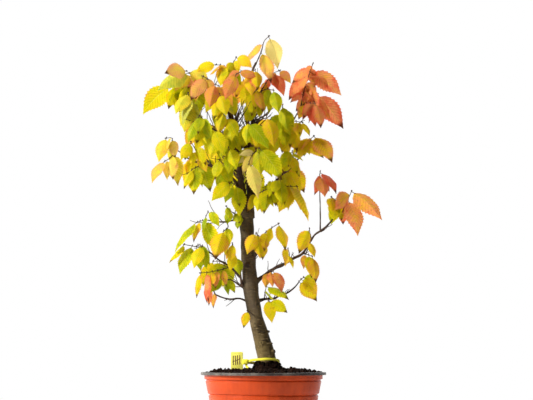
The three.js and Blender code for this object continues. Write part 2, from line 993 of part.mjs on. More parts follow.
function makePot() {
  const inside = potInside();
  const profile = [...potOutside(), ...inside.wall, inside.corner, ...inside.floor];
  let body = solidOf(lathe(profile, pot.segments));
  const ring = (pot.channelInner + pot.channelOuter) / 2;
  const { drainRadius, drillLength, drillSides } = pot;
  for (let hole = 0; hole < pot.drainHoles; hole += 1) {
    const angle = ((hole + 0.5) / pot.drainHoles) * 2 * Math.PI;
    const drill = new THREE.CylinderGeometry(drainRadius, drainRadius, drillLength, drillSides);
    drill.rotateX(Math.PI / 2);
    drill.translate(ring * Math.cos(angle), ring * Math.sin(angle), pot.channelRise);
    body = body.subtract(solidOf(drill));
  }
  return body;
}

// Height of the soil's surface over a place: a shallow heap, the dome round the trunk and a lumpy crumb.
function soilHeight(x, y) {
  const radius = Math.hypot(x, y) / (pot.neckRadius - pot.wall);
  const heap = soil.edgeHeight + (soil.middleHeight - soil.edgeHeight) * (1 - radius ** soil.heapPower);
  const fromTrunk = Math.hypot(x - trunkLine[2][0], y) / soil.domeRadius;
  const dome = soil.domeHeight * Math.exp(-(fromTrunk ** soil.domePower));
  const { broadWave, slantWave } = soil;
  const broad = Math.sin(x * broadWave.x + broadWave.start) * Math.cos(y * broadWave.y);
  const slant = slantWave.share * Math.sin(x * slantWave.x + y * slantWave.y + slantWave.start);
  return heap + dome + soil.bump * (broad + slant) * Math.min(1, soil.calmEdge * (1 - radius));
}

// The soil fills the pot's inside up to its own surface, and is cut clear of the trunk and the tie.
function makeSoil(trunkStock, tie) {
  const inside = potInside();
  const floor = inside.floor.map(([r, z]) => [r, z + clearance]).reverse();
  const corner = [inside.corner[0] - clearance, inside.corner[1] + clearance];
  const wall = inside.wall.map(([r, z]) => [r - clearance, z]).reverse();
  const edge = [wall[wall.length - 1][0], soil.edgeHeight - soil.edgeDrop];
  const top = [...soil.rings, 0].map((radius) => [radius, soil.middleHeight]);
  const geometry = lathe([...floor, corner, ...wall, edge, ...top], pot.segments);
  const position = geometry.attributes.position;
  for (let i = 0; i < position.count; i += 1) {
    if (position.getZ(i) > soil.middleHeight - soil.edgeDrop) {
      position.setZ(i, soilHeight(position.getX(i), position.getY(i)));
    }
  }
  return largestBody(solidOf(geometry).subtract(trunkStock).subtract(tie));
}

function trunkTube(spare) {
  const line = trunkLine.map((point) => [...point]);
  line[0][2] -= spare;
  const { sides, stepsPerPoint, twoLobes, threeLobes } = trunkShape;
  const radiusAt = (share, offset, centre) => {
    const angle = Math.atan2(offset.y, offset.x);
    const two = twoLobes.height * Math.sin(2 * angle + centre.z * twoLobes.twist);
    const three = threeLobes.height * Math.sin(3 * angle + centre.z * threeLobes.twist);
    return mix(trunkRadii, share) * (1 + two + three) + spare;
  };
  const steps = Math.round(stepsPerPoint * (trunkRadii.length - 1));
  return solidOf(taperedTube(line, radiusAt, sides, steps));
}

function limbTube(limb, spare) {
  const sides = limb.radii[0] > limbShape.thickFrom ? limbShape.thickSides : limbShape.thinSides;
  const radiusAt = (share) => mix(limb.radii, Math.sqrt(share)) + spare;
  return solidOf(taperedTube(limb.path, radiusAt, sides, limb.path.length - 1));
}

function stubTube(stub, spare) {
  const end = stub.at.map((value, axis) => value + stub.toward[axis]);
  const radiusAt = (share) => stub.radius * (1 - stubShape.taper * share) + spare;
  return solidOf(taperedTube([stub.at, end], radiusAt, stubShape.sides, stubShape.steps));
}

function makeTrunk(spare) {
  const pieces = [trunkTube(spare)];
  for (const limb of Object.values(limbs)) {
    pieces.push(limbTube(limb, spare));
  }
  for (const stub of stubs) {
    pieces.push(stubTube(stub, spare));
  }
  return joined(pieces);
}

// Marker tie: an upright flag with its foot in the soil, a head, and a thin strap looped round the trunk.
const tie = {
  flag: { left: -44, right: -27.7, bottom: 127, top: 157.5, y: -13, thickness: 1.2, corner: 1.5 },
  head: { left: -28.5, right: -20.6, bottom: 140.6, top: 147.8, y: -13, thickness: 4 },
  strapHeight: 3.4,
  strapThickness: 1,
  strapSteps: 24,
  strapLine: [[-22, -13, 145], [-14, -15.8, 146.6], [-2, -17.6, 147.6], [9, -16, 147.8], [18, -9.5, 146.6],
    [21.8, 0, 144.6], [19, 10.5, 142.6], [9, 17, 142], [-3, 17.6, 142], [-14, 12, 142.4], [-20.5, 2, 143],
    [-22.5, -7, 143.4], [-24, -13, 143.6]],
};

function tieFlag(spare) {
  const f = tie.flag;
  const shape = new THREE.Shape();
  shape.moveTo(f.left - spare, f.bottom - spare);
  shape.lineTo(f.right + spare, f.bottom - spare);
  shape.lineTo(f.right + spare, f.top - f.corner);
  shape.lineTo(f.right - f.corner, f.top + spare);
  shape.lineTo(f.left + f.corner, f.top + spare);
  shape.lineTo(f.left - spare, f.top - f.corner);
  const depth = f.thickness + 2 * spare;
  const geometry = new THREE.ExtrudeGeometry(shape, { depth, bevelEnabled: false });
  geometry.translate(0, 0, -depth / 2);
  geometry.rotateX(Math.PI / 2);
  geometry.translate(0, f.y, 0);
  return solidOf(geometry);
}

function tieHead(spare) {
  const h = tie.head;
  const size = [h.right - h.left, h.thickness, h.top - h.bottom].map((value) => value + 2 * spare);
  const geometry = new THREE.BoxGeometry(...size);
  geometry.translate((h.left + h.right) / 2, h.y, (h.bottom + h.top) / 2);
  return solidOf(geometry);
}

// The strap is a flat band that stays upright as it goes round.
function tieStrap(spare) {
  const curve = curveThrough(tie.strapLine);
  const steps = tie.strapSteps;
  const positions = [];
  const indices = [];
  for (let step = 0; step <= steps; step += 1) {
    const centre = curve.getPoint(step / steps);
    const along = curve.getTangent(step / steps);
    const out = new THREE.Vector3(along.y, -along.x, 0).normalize();
    out.multiplyScalar(tie.strapThickness / 2 + spare);
    const up = tie.strapHeight / 2 + spare;
    for (const [across, lift] of [[1, -up], [1, up], [-1, up], [-1, -up]]) {
      positions.push(centre.x + across * out.x, centre.y + across * out.y, centre.z + lift);
    }
  }
  for (let step = 0; step < steps; step += 1) {
    for (let side = 0; side < 4; side += 1) {
      const a = step * 4 + side;
      const b = step * 4 + ((side + 1) % 4);
      indices.push(a, b + 4, b, a, a + 4, b + 4);
    }
  }
  const end = steps * 4;
  indices.push(0, 1, 2, 0, 2, 3, end, end + 2, end + 1, end, end + 3, end + 2);
  const geometry = new THREE.BufferGeometry();
  geometry.setAttribute("position", new THREE.Float32BufferAttribute(positions, 3));
  geometry.setIndex(indices);
  return solidOf(geometry);
}

function makeTie(spare) {
  return joined([tieFlag(spare), tieHead(spare), tieStrap(spare)]);
}

// The straight runs that a stem's tube is made of, and a place on them.
function stemRuns(stem) {
  return curveThrough(stem.path).getSpacedPoints(stem.path.length);
}

function pointOnRuns(runs, share) {
  const place = share * (runs.length - 1);
  const run = Math.min(Math.floor(place), runs.length - 2);
  return runs[run].clone().lerp(runs[run + 1], place - run);
}

function stemTube(stem) {
  const curve = curveThrough(stem.path);
  const root = stemShape.endRadius + stemShape.radiusPerLength * curve.getLength();
  const radiusAt = (share) => root + (stemShape.endRadius - root) * share;
  return solidOf(taperedTube(stem.path, radiusAt, stemShape.sides, stem.path.length));
}

// Where a leaf's root, rib and faces lie. The axis runs from root to tip, and the rib arches over it.
function leafPose(stem, stemIndex, leafIndex, attempt) {
  const s = leafStance;
  const fixed = (quantity) => draw(stemIndex, leafIndex, quantity, 0) - 0.5;
  const free = (quantity) => draw(stemIndex, leafIndex, quantity, attempt) - 0.5;
  const degrees = Math.PI / 180;
  const wander = attempt === 0 ? 0 : s.wander + s.wanderPerTry * attempt;
  const share = stem.leaves > 1 ? leafIndex / (stem.leaves - 1) : 1;
  const root = pointOnRuns(stemRuns(stem), stem.first + (s.lastPlace - stem.first) * share);
  const length = mix(stem.size, share) * (1 + s.lengthVaries * fixed(1));
  const hang = stem.lean[leafIndex % stem.lean.length];
  const lean = (hang + (s.leanVaries + wander) * free(2)) * degrees;
  const outward = (s.outward + (s.outwardVaries + wander) * free(3)) * degrees;
  const bearing = Math.atan2(root.x - s.crownMiddle, -root.y);
  const behind = Math.abs(bearing) > Math.PI / 2;
  const fromBack = Math.sign(bearing) * (Math.PI - s.turnShare * (Math.PI - Math.abs(bearing)));
  const middleTurn = behind ? fromBack : s.turnShare * bearing;
  const turn = middleTurn + (s.turnVaries + wander) * free(4) * degrees;
  const axis = new THREE.Vector3(
    Math.sin(lean) * Math.cos(outward),
    (behind ? 1 : -1) * Math.sin(outward),
    -Math.cos(lean) * Math.cos(outward),
  );
  const facing = new THREE.Vector3(Math.sin(turn), -Math.cos(turn), 0);
  facing.addScaledVector(axis, -facing.dot(axis)).normalize();
  const upward = new THREE.Vector3(0, 0, 1).addScaledVector(axis, -axis.z);
  const bulge = upward.multiplyScalar(leafShape.upwardPull).add(facing).normalize();
  const arch = s.arch + s.archVaries * fixed(5);
  const fold = s.fold + s.foldVaries * fixed(6);
  const halfWidth = length * leafShape.widthShare * (1 + s.widthVaries * fixed(7));
  return { root, axis, facing, bulge, length, arch, fold, halfWidth };
}

// Half the blade's width at a share of its length: broadest below the middle, drawn out to the tip.
function bladeWidth(share) {
  const { broadPlace, broadPower, tipDraw, tipPower } = leafShape;
  return Math.sin(Math.PI * share ** broadPlace) ** broadPower * (1 - tipDraw * share ** tipPower);
}

// A point of the blade: along the arched rib, across it, and lifted off its middle face.
function leafPoint(pose, along, across, lift) {
  const share = along / pose.length;
  const place = pose.root.clone().addScaledVector(pose.axis, along);
  place.addScaledVector(pose.bulge, 2 * share * (1 - share) * pose.arch * pose.length);
  const tangent = pose.axis.clone().addScaledVector(pose.bulge, 2 * (1 - 2 * share) * pose.arch).normalize();
  const side = new THREE.Vector3().crossVectors(tangent, pose.facing).normalize();
  const normal = new THREE.Vector3().crossVectors(side, tangent);
  place.addScaledVector(side, across);
  return place.addScaledVector(normal, lift - pose.fold * Math.abs(across));
}

// The toothed outline on one side of the blade, as shares of its length with the width there scaled.
const teeth = [
  [0.2, leafShape.toothOut],
  [0.46, leafShape.toothOut],
  [0.53, leafShape.toothIn],
  [0.77, leafShape.toothOut],
];
const ribShares = [0, 0.5];

// The blade is thick at its rib and comes to a thin edge. With spare it is a fatter one with a walled edge.
function leafSolid(pose, start, spare) {
  const petiole = leafShape.petioleShare * pose.length;
  const bladeAt = (share) => petiole + share * (pose.length - petiole);
  const positions = [];
  const add = (along, across, lift) => {
    positions.push(...leafPoint(pose, along, across, lift).toArray());
    return positions.length / 3 - 1;
  };
  const edge = (along, across) => {
    const upper = add(along, across, spare);
    return spare > 0 ? [upper, add(along, across, -spare)] : [upper, upper];
  };
  const root = edge(start, 0);
  const tip = edge(pose.length + spare, 0);
  const sides = [1, -1].map((hand) => {
    const outline = teeth.map(([share, scale]) => {
      const across = pose.halfWidth * bladeWidth(share) * scale + spare;
      return edge(bladeAt(share), hand * across);
    });
    return [edge(petiole, hand * (leafShape.petioleHalf + spare)), ...outline];
  });
  const ribs = ribShares.map((share) => {
    const lift = leafShape.ribLift + spare;
    return [add(bladeAt(share), 0, lift), add(bladeAt(share), 0, -lift)];
  });
  const indices = [];
  for (const face of [0, 1]) {
    for (const hand of [0, 1]) {
      const s = sides[hand].map((pair) => pair[face]);
      const [near, far] = ribs.map((pair) => pair[face]);
      const corners = [
        [root[face], s[0], near],
        [s[0], s[1], near],
        [s[1], far, near],
        [s[1], s[2], far],
        [s[2], s[3], far],
        [s[3], s[4], far],
        [s[4], tip[face], far],
      ];
      for (const [a, b, c] of corners) {
        indices.push(...((face + hand) % 2 === 0 ? [a, b, c] : [a, c, b]));
      }
    }
  }
  if (spare > 0) {
    const loop = [root, ...sides[0], tip, ...sides[1].slice().reverse()];
    loop.forEach((pair, i) => {
      const next = loop[(i + 1) % loop.length];
      indices.push(pair[0], pair[1], next[0], next[0], pair[1], next[1]);
    });
  }
  const geometry = new THREE.BufferGeometry();
  geometry.setAttribute("position", new THREE.Float32BufferAttribute(positions, 3));
  geometry.setIndex(indices);
  return solidOf(geometry);
}

function boxOf(solid) {
  const { min, max } = solid.boundingBox();
  return new THREE.Box3(vector(min), vector(max));
}

function meets(solid, box, others) {
  return others.some((other) => {
    if (!box.intersectsBox(other.box)) {
      return false;
    }
    const shared = solid.intersect(other.solid);
    const found = !shared.isEmpty();
    shared.delete();
    return found;
  });
}

function leafColour(tone) {
  const [step, rest] = stepOf(autumn, tone);
  return new THREE.Color(autumn[step]).lerp(new THREE.Color(autumn[step + 1]), rest);
}

// Stems come first, then each leaf takes the first of its tries that is clear of all that stands already.
function makeSprays(trunk) {
  const bark = makeTrunk(clearance);
  const sprays = new Map();
  const standing = [{ solid: trunk, box: boxOf(trunk) }];
  for (const stem of stems) {
    const grown = sprays.get(stem.node);
    const tube = stemTube(stem);
    const cut = grown ? tube : largestBody(tube.subtract(bark));
    standing.push({ solid: cut, box: boxOf(cut) });
    if (grown) {
      grown.solids.push(cut);
      grown.tones.push(...stem.tone);
    } else {
      sprays.set(stem.node, { solids: [cut], tones: [...stem.tone] });
    }
  }
  stems.forEach((stem, stemIndex) => {
    for (let leafIndex = 0; leafIndex < stem.leaves; leafIndex += 1) {
      for (let attempt = 0; attempt < leafStance.tries; attempt += 1) {
        const pose = leafPose(stem, stemIndex, leafIndex, attempt);
        const guard = leafSolid(pose, leafShape.guardStart, clearance);
        if (meets(guard, boxOf(guard), standing)) {
          continue;
        }
        const leaf = leafSolid(pose, -leafShape.rootSink, 0);
        standing.push({ solid: leaf, box: boxOf(leaf) });
        sprays.get(stem.node).solids.push(leaf);
        break;
      }
    }
  });
  return sprays;
}

function meshOf(name, solid, material) {
  const mesh = new THREE.Mesh(geometryOf(solid), material);
  mesh.name = name;
  return mesh;
}

const group = new THREE.Group();
const trunk = makeTrunk(0);
group.add(meshOf("pot", makePot(), materials.pot));
group.add(meshOf("soil", makeSoil(trunkTube(clearance), makeTie(clearance)), materials.soil));
group.add(meshOf("trunk", trunk, materials.bark));
group.add(meshOf("marker_tie", makeTie(0), materials.tie));
for (const [name, spray] of makeSprays(trunk)) {
  const tone = spray.tones.reduce((sum, value) => sum + value, 0) / spray.tones.length;
  const material = new THREE.MeshStandardMaterial({ color: leafColour(tone), roughness: 0.6, metalness: 0 });
  group.add(meshOf(`spray_${name}`, joined(spray.solids), material));
}

export default group;
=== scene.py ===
import bisect
import json
import math
import random

import bmesh
import bpy
from mathutils import Matrix, Vector, kdtree, noise


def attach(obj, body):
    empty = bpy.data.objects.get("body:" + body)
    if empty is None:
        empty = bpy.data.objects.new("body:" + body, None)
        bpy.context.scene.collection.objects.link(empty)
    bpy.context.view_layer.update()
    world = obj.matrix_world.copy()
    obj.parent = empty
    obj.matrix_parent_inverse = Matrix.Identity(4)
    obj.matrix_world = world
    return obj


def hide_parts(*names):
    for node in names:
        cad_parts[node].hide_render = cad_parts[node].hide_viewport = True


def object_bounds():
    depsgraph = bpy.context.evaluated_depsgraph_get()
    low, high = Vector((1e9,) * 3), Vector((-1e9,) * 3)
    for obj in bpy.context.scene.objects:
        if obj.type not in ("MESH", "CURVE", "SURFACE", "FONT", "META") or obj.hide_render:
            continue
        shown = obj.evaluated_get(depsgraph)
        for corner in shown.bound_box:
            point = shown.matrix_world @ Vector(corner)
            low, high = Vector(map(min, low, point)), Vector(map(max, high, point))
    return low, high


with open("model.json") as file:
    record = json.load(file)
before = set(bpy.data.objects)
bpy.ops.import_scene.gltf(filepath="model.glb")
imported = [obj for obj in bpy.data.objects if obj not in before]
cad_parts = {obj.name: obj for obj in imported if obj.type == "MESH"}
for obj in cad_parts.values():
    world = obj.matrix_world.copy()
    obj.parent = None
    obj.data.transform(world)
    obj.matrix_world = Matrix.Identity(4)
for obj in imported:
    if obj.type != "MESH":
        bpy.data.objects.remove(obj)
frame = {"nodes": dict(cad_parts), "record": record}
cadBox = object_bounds()
mm = 0.001
print("frame loaded,", len(frame["nodes"]), "nodes")


# Small helpers for objects, colours and node trees.

def link(thing):
    bpy.context.scene.collection.objects.link(thing)
    return thing


def colour(text):
    values = [int(text[i:i + 2], 16) / 255 for i in (1, 3, 5)]
    linear = [v / 12.92 if v <= 0.04045 else ((v + 0.055) / 1.055) ** 2.4 for v in values]
    return (*linear, 1)


# A socket takes a link, a plain value or a colour written as #rrggbb.
def put(tree, socket, value):
    if isinstance(value, bpy.types.NodeSocket):
        tree.links.new(value, socket)
    elif isinstance(value, str) and value.startswith("#"):
        socket.default_value = colour(value)
    else:
        socket.default_value = value


def addNode(tree, kind, feeds=None, **settings):
    node = tree.nodes.new(kind)
    for name, value in settings.items():
        setattr(node, name, value)
    for socket, value in (feeds or {}).items():
        put(tree, node.inputs[socket], value)
    return node


def calc(tree, operation, *terms):
    return addNode(tree, "ShaderNodeMath", dict(enumerate(terms)), operation=operation).outputs[0]


def times(tree, first, second):
    return calc(tree, "MULTIPLY", first, second)


def calcVector(tree, operation, *terms):
    node = addNode(tree, "ShaderNodeVectorMath", dict(enumerate(terms)), operation=operation)
    return node.outputs["Vector"]


def scaled(tree, vector, factor):
    node = addNode(tree, "ShaderNodeVectorMath", {0: vector, "Scale": factor}, operation="SCALE")
    return node.outputs["Vector"]


def parts(tree, vector):
    return addNode(tree, "ShaderNodeSeparateXYZ", {0: vector}).outputs


def newMaterial(name, **values):
    material = bpy.data.materials.new(name)
    material.use_nodes = True
    shader = material.node_tree.nodes["Principled BSDF"]
    for socket, value in values.items():
        shader.inputs[socket.replace("_", " ")].default_value = value
    return material, material.node_tree, shader


def ramp(tree, factor, stops):
    node = addNode(tree, "ShaderNodeValToRGB", {"Fac": factor})
    elements = node.color_ramp.elements
    while len(elements) < len(stops):
        elements.new(0.5)
    for element, (position, shade) in zip(elements, stops):
        element.position = position
        element.color = colour(shade)
    return node.outputs["Color"]


# Sockets 6 and 7 of the mix node are its colours, and its third output is the mixed one.
def blended(tree, share, first, second):
    return addNode(tree, "ShaderNodeMix", {0: share, 6: first, 7: second}, data_type="RGBA").outputs[2]


def between(tree, value, low, high, toLow=0.0, toHigh=1.0):
    feeds = {"Value": value, "From Min": low, "From Max": high, "To Min": toLow, "To Max": toHigh}
    return addNode(tree, "ShaderNodeMapRange", feeds).outputs["Result"]


def speckle(tree, vector, scale, detail=2.0, roughness=0.5):
    feeds = {"Vector": vector, "Scale": scale, "Detail": detail, "Roughness": roughness}
    return addNode(tree, "ShaderNodeTexNoise", feeds).outputs["Fac"]


def place(tree, scale=(1, 1, 1)):
    coordinates = addNode(tree, "ShaderNodeTexCoord").outputs["Object"]
    return addNode(tree, "ShaderNodeMapping", {"Vector": coordinates, "Scale": scale}).outputs["Vector"]


# Noise on the piece's own coordinates, closer along an axis where its stretch is larger.
def grain(tree, scale=1, detail=2.0, roughness=0.5, stretch=(1, 1, 1)):
    return speckle(tree, place(tree, stretch), scale, detail, roughness)


def bumped(tree, shader, height, distance, strength=1.0):
    feeds = {"Height": height, "Distance": distance, "Strength": strength}
    put(tree, shader.inputs["Normal"], addNode(tree, "ShaderNodeBump", feeds).outputs["Normal"])


def named(tree, label, kind="FLOAT"):
    node = addNode(tree, "GeometryNodeInputNamedAttribute", {"Name": label}, data_type=kind)
    return node.outputs["Attribute"]


def joined(tree, first, second):
    node = addNode(tree, "GeometryNodeJoinGeometry", {0: first})
    put(tree, node.inputs[0], second)
    return node.outputs[0]


def realized(tree, geometry):
    return addNode(tree, "GeometryNodeRealizeInstances", {0: geometry}).outputs[0]


def covered(tree, geometry, material):
    return addNode(tree, "GeometryNodeSetMaterial", {0: geometry, "Material": material}).outputs[0]


def shapeOf(tree, thing):
    return addNode(tree, "GeometryNodeObjectInfo", {"Object": thing}).outputs["Geometry"]


def copies(tree, points, instance):
    return addNode(tree, "GeometryNodeInstanceOnPoints", {"Points": points, "Instance": instance})


# A node group for a Geometry Nodes modifier, returned with its named inputs and the socket that ends it.
def newTree(name, **inputs):
    tree = bpy.data.node_groups.new(name, "GeometryNodeTree")
    tree.is_modifier = True
    tree.interface.new_socket("Geometry", in_out="INPUT", socket_type="NodeSocketGeometry")
    for label, (kind, value) in inputs.items():
        socket = tree.interface.new_socket(label.replace("_", " "), in_out="INPUT", socket_type=kind)
        if value is not None:
            socket.default_value = value
    tree.interface.new_socket("Geometry", in_out="OUTPUT", socket_type="NodeSocketGeometry")
    return tree, addNode(tree, "NodeGroupInput").outputs, addNode(tree, "NodeGroupOutput").inputs[0]


def grow(thing, tree, **values):
    modifier = thing.modifiers.new(tree.name, "NODES")
    modifier.node_group = tree
    names = {item.name: item.identifier for item in tree.interface.items_tree if item.in_out == "INPUT"}
    for label, value in values.items():
        modifier[names[label.replace("_", " ")]] = value


# The object's modifiers, applied: it becomes one plain mesh at the origin.
def settle(thing):
    graph = bpy.context.evaluated_depsgraph_get()
    mesh = bpy.data.meshes.new_from_object(thing.evaluated_get(graph), depsgraph=graph)
    thing.modifiers.clear()
    old = thing.data
    thing.data = mesh
    bpy.data.meshes.remove(old)
    mesh.name = thing.name
    return thing


def objectOf(name, vertices, faces, materials=(), faceMaterial=None):
    mesh = bpy.data.meshes.new(name)
    mesh.from_pydata([Vector(v) * mm for v in vertices], [], faces)
    for material in materials:
        mesh.materials.append(material)
    if faceMaterial:
        mesh.polygons.foreach_set("material_index", faceMaterial)
    mesh.polygons.foreach_set("use_smooth", [True] * len(faces))
    mesh.update()
    return link(bpy.data.objects.new(name, mesh))


# The faces between two rings of corners. A ring that names one corner all the way round is a pole.
def ringFaces(low, high):
    corners = zip(low, low[1:] + low[:1], high[1:] + high[:1], high)
    return [tuple(dict.fromkeys(face)) for face in corners]


def finished(thing, slotName, *nodes):
    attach(thing, "root")
    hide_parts(*nodes)
    count = sum(len(p.vertices) - 2 for p in thing.data.polygons)
    print("made", thing.name, count, "triangles")


# The value at a share of the way through a list, from its first value to its last.
def mix(values, share):
    if len(values) == 1:
        return values[0]
    step = min(share, 1 - 1e-9) * (len(values) - 1)
    low = int(step)
    return values[low] + (values[low + 1] - values[low]) * (step - low)


curveSteps = 200  # how finely a curve's length is measured


# A smooth curve through points, as the leafy stems and limbs follow it.
def curvePoint(points, share):
    last = len(points) - 1
    step = min(int(share * last), last - 1)
    t = share * last - step
    here, there = points[step], points[step + 1]
    before = points[step - 1] if step > 0 else here * 2 - there
    after = points[step + 2] if step + 2 <= last else there * 2 - here
    leave, arrive = (there - before) * 0.5, (after - here) * 0.5
    return (here + leave * t + (there * 3 - here * 3 - leave * 2 - arrive) * t ** 2
            + (here * 2 - there * 2 + leave + arrive) * t ** 3)


def lengthsAlong(points):
    fine = [curvePoint(points, i / curveSteps) for i in range(curveSteps + 1)]
    lengths = [0.0]
    for a, b in zip(fine, fine[1:]):
        lengths.append(lengths[-1] + (b - a).length)
    return lengths


def lengthOf(path):
    return lengthsAlong([Vector(p) for p in path])[-1]


def evenPoints(path, steps):
    points = [Vector(p) for p in path]
    lengths = lengthsAlong(points)
    found = []
    for step in range(steps + 1):
        target = lengths[-1] * step / steps
        low = max(0, min(bisect.bisect_left(lengths, target) - 1, curveSteps - 1))
        part = (target - lengths[low]) / (lengths[low + 1] - lengths[low])
        found.append(curvePoint(points, (low + part) / curveSteps))
    return found


# Camera and light. The photo looks level at the pot from a long way off, lit from the left front.

view = {
    "mmPerPixel": 1.36,
    "rimCentrePixel": (263.5, 372),
    "rimHeight": 130,
    "imageSize": (533, 400),
    "distance": 3.0,
    "aboveRim": 0.9,
    "sensor": 36,
}
lights = {
    "key": {"at": (-2.75, -1.4, 1.8), "size": 0.9, "power": 215, "colour": (1.0, 0.985, 0.95)},
    "top": {"at": (-0.3, -0.6, 2.6), "size": 1.0, "power": 24, "colour": (1.0, 1.0, 1.0)},
}
surroundings = {
    "lampsAimAt": (0, 0, 0.36),
    "seen": 1.0,
    "ambient": 0.08,
    "backdrop": 2.7,
    "brightSide": (-0.3, 0.95, 0),
    "brightFrom": 0.1,
    "floorRadius": 1.35,
    "floorShade": 0.86,
    "floorRoughness": 0.8,
}


def aimAt(thing, target):
    direction = Vector(target) - thing.location
    thing.rotation_euler = direction.to_track_quat("-Z", "Y").to_euler()


def makeCamera():
    scale = view["mmPerPixel"] * mm
    middleX = (view["imageSize"][0] / 2 - view["rimCentrePixel"][0]) * scale
    rim = view["rimHeight"] * mm
    middleZ = rim + (view["rimCentrePixel"][1] - view["imageSize"][1] / 2) * scale
    camera = link(bpy.data.objects.new("camera", bpy.data.cameras.new("camera")))
    height = rim + view["distance"] * math.tan(math.radians(view["aboveRim"]))
    camera.location = (middleX, -view["distance"], height)
    aimAt(camera, (middleX, 0, middleZ))
    camera.data.sensor_width = view["sensor"]
    camera.data.lens = view["sensor"] * view["distance"] / (view["imageSize"][0] * scale)
    bpy.context.scene.camera = camera


def makeLights():
    for name, light in lights.items():
        lamp = bpy.data.lights.new(name, "AREA")
        lamp.shape = "DISK"
        lamp.size = light["size"]
        lamp.energy = light["power"]
        lamp.color = light["colour"]
        thing = link(bpy.data.objects.new(name, lamp))
        thing.location = light["at"]
        aimAt(thing, surroundings["lampsAimAt"])


# The camera sees a plain white world. The tree is lit by one that is brighter on one side.
def makeWorld():
    s = surroundings
    world = bpy.data.worlds.new("studio")
    bpy.context.scene.world = world
    world.use_nodes = True
    tree = world.node_tree
    around = addNode(tree, "ShaderNodeTexCoord").outputs["Generated"]
    side = addNode(tree, "ShaderNodeVectorMath", {0: around, 1: s["brightSide"]}, operation="DOT_PRODUCT")
    glow = between(tree, side.outputs["Value"], s["brightFrom"], 1, s["ambient"], s["backdrop"])
    isSeen = addNode(tree, "ShaderNodeLightPath").outputs["Is Camera Ray"]
    background = tree.nodes["Background"]
    background.inputs["Color"].default_value = (1, 1, 1, 1)
    put(tree, background.inputs["Strength"], between(tree, isSeen, 0, 1, glow, s["seen"]))


def makeFloor():
    material, _, shader = newMaterial("floor", Roughness=surroundings["floorRoughness"])
    shade = surroundings["floorShade"]
    shader.inputs["Base Color"].default_value = (shade, shade, shade, 1)
    shape = bmesh.new()
    bmesh.ops.create_circle(shape, cap_ends=True, segments=96, radius=surroundings["floorRadius"])
    mesh = bpy.data.meshes.new("floor")
    shape.to_mesh(mesh)
    shape.free()
    mesh.materials.append(material)
    link(bpy.data.objects.new("floor", mesh))


makeCamera()
makeLights()
makeWorld()
makeFloor()
bpy.context.scene.view_settings.view_transform = "Standard"
print("camera, lights and floor made")


# Pot: two-coloured nursery pot, terracotta outside and dusty black inside and over its rim.

pot = {
    "height": 130,
    "rimRadius": 85,
    "rimDrop": 3.6,
    "rimLip": 0.3,
    "neckRadius": 80.2,
    "neckHeight": 121,
    "neckStep": 1.6,
    "neckDrop": 0.8,
    "neckLean": 0.1,
    "shoulderRadius": 75.4,
    "shoulderHeight": 101.5,
    "footRadius": 61.5,
    "footRise": 1.2,
    "wall": 1.5,
    "floor": 1.6,
    "slant": 1,
    "channelInner": 31,
    "channelOuter": 47,
    "channelRise": 3,
    "grooveDepth": 1.2,
    "grooveHeight": 1.2,
    "drainHoles": 6,
    "drainRadius": 4.5,
    "drillSides": 32,
    "drillLength": 20,
    "segments": 128,
    "clayLight": "#bf4415",
    "clayDark": "#97320e",
    "dust": "#bb6a44",
    "rimDark": "#2d2724",
    "rimDust": "#7c756c",
}


def makeClayPlastic():
    material, tree, shader = newMaterial("clay coloured plastic", IOR=1.46, Specular_IOR_Level=0.2)
    patches = grain(tree, scale=22, detail=5, roughness=0.6)
    streaks = grain(tree, detail=3, roughness=0.6, stretch=(160, 160, 9))
    mixture = calc(tree, "MULTIPLY_ADD", streaks, 0.35, times(tree, patches, 0.65))
    base = ramp(tree, mixture, [(0.3, pot["clayDark"]), (0.62, pot["clayLight"])])
    film = grain(tree, detail=6, roughness=0.65, stretch=(30, 30, 70))
    dusty = between(tree, film, low=0.54, high=0.8, toHigh=0.22)
    put(tree, shader.inputs["Base Color"], blended(tree, dusty, base, pot["dust"]))
    put(tree, shader.inputs["Roughness"], between(tree, film, low=0.3, high=0.7, toLow=0.36, toHigh=0.6))
    bumped(tree, shader, grain(tree, scale=260, detail=4, roughness=0.6), distance=0.00012, strength=0.6)
    return material


def makeRimPlastic():
    material, tree, shader = newMaterial("dusty black plastic", IOR=1.46, Specular_IOR_Level=0.35)
    film = grain(tree, scale=60, detail=7, roughness=0.7)
    smears = grain(tree, detail=4, roughness=0.6, stretch=(25, 25, 140))
    mixture = calc(tree, "ADD", film, times(tree, smears, 0.6))
    dusty = between(tree, mixture, low=0.68, high=1.15)
    put(tree, shader.inputs["Base Color"], blended(tree, dusty, pot["rimDark"], pot["rimDust"]))
    put(tree, shader.inputs["Roughness"], between(tree, dusty, low=0, high=1, toLow=0.42, toHigh=0.85))
    bumped(tree, shader, film, distance=0.0002, strength=0.7)
    return material


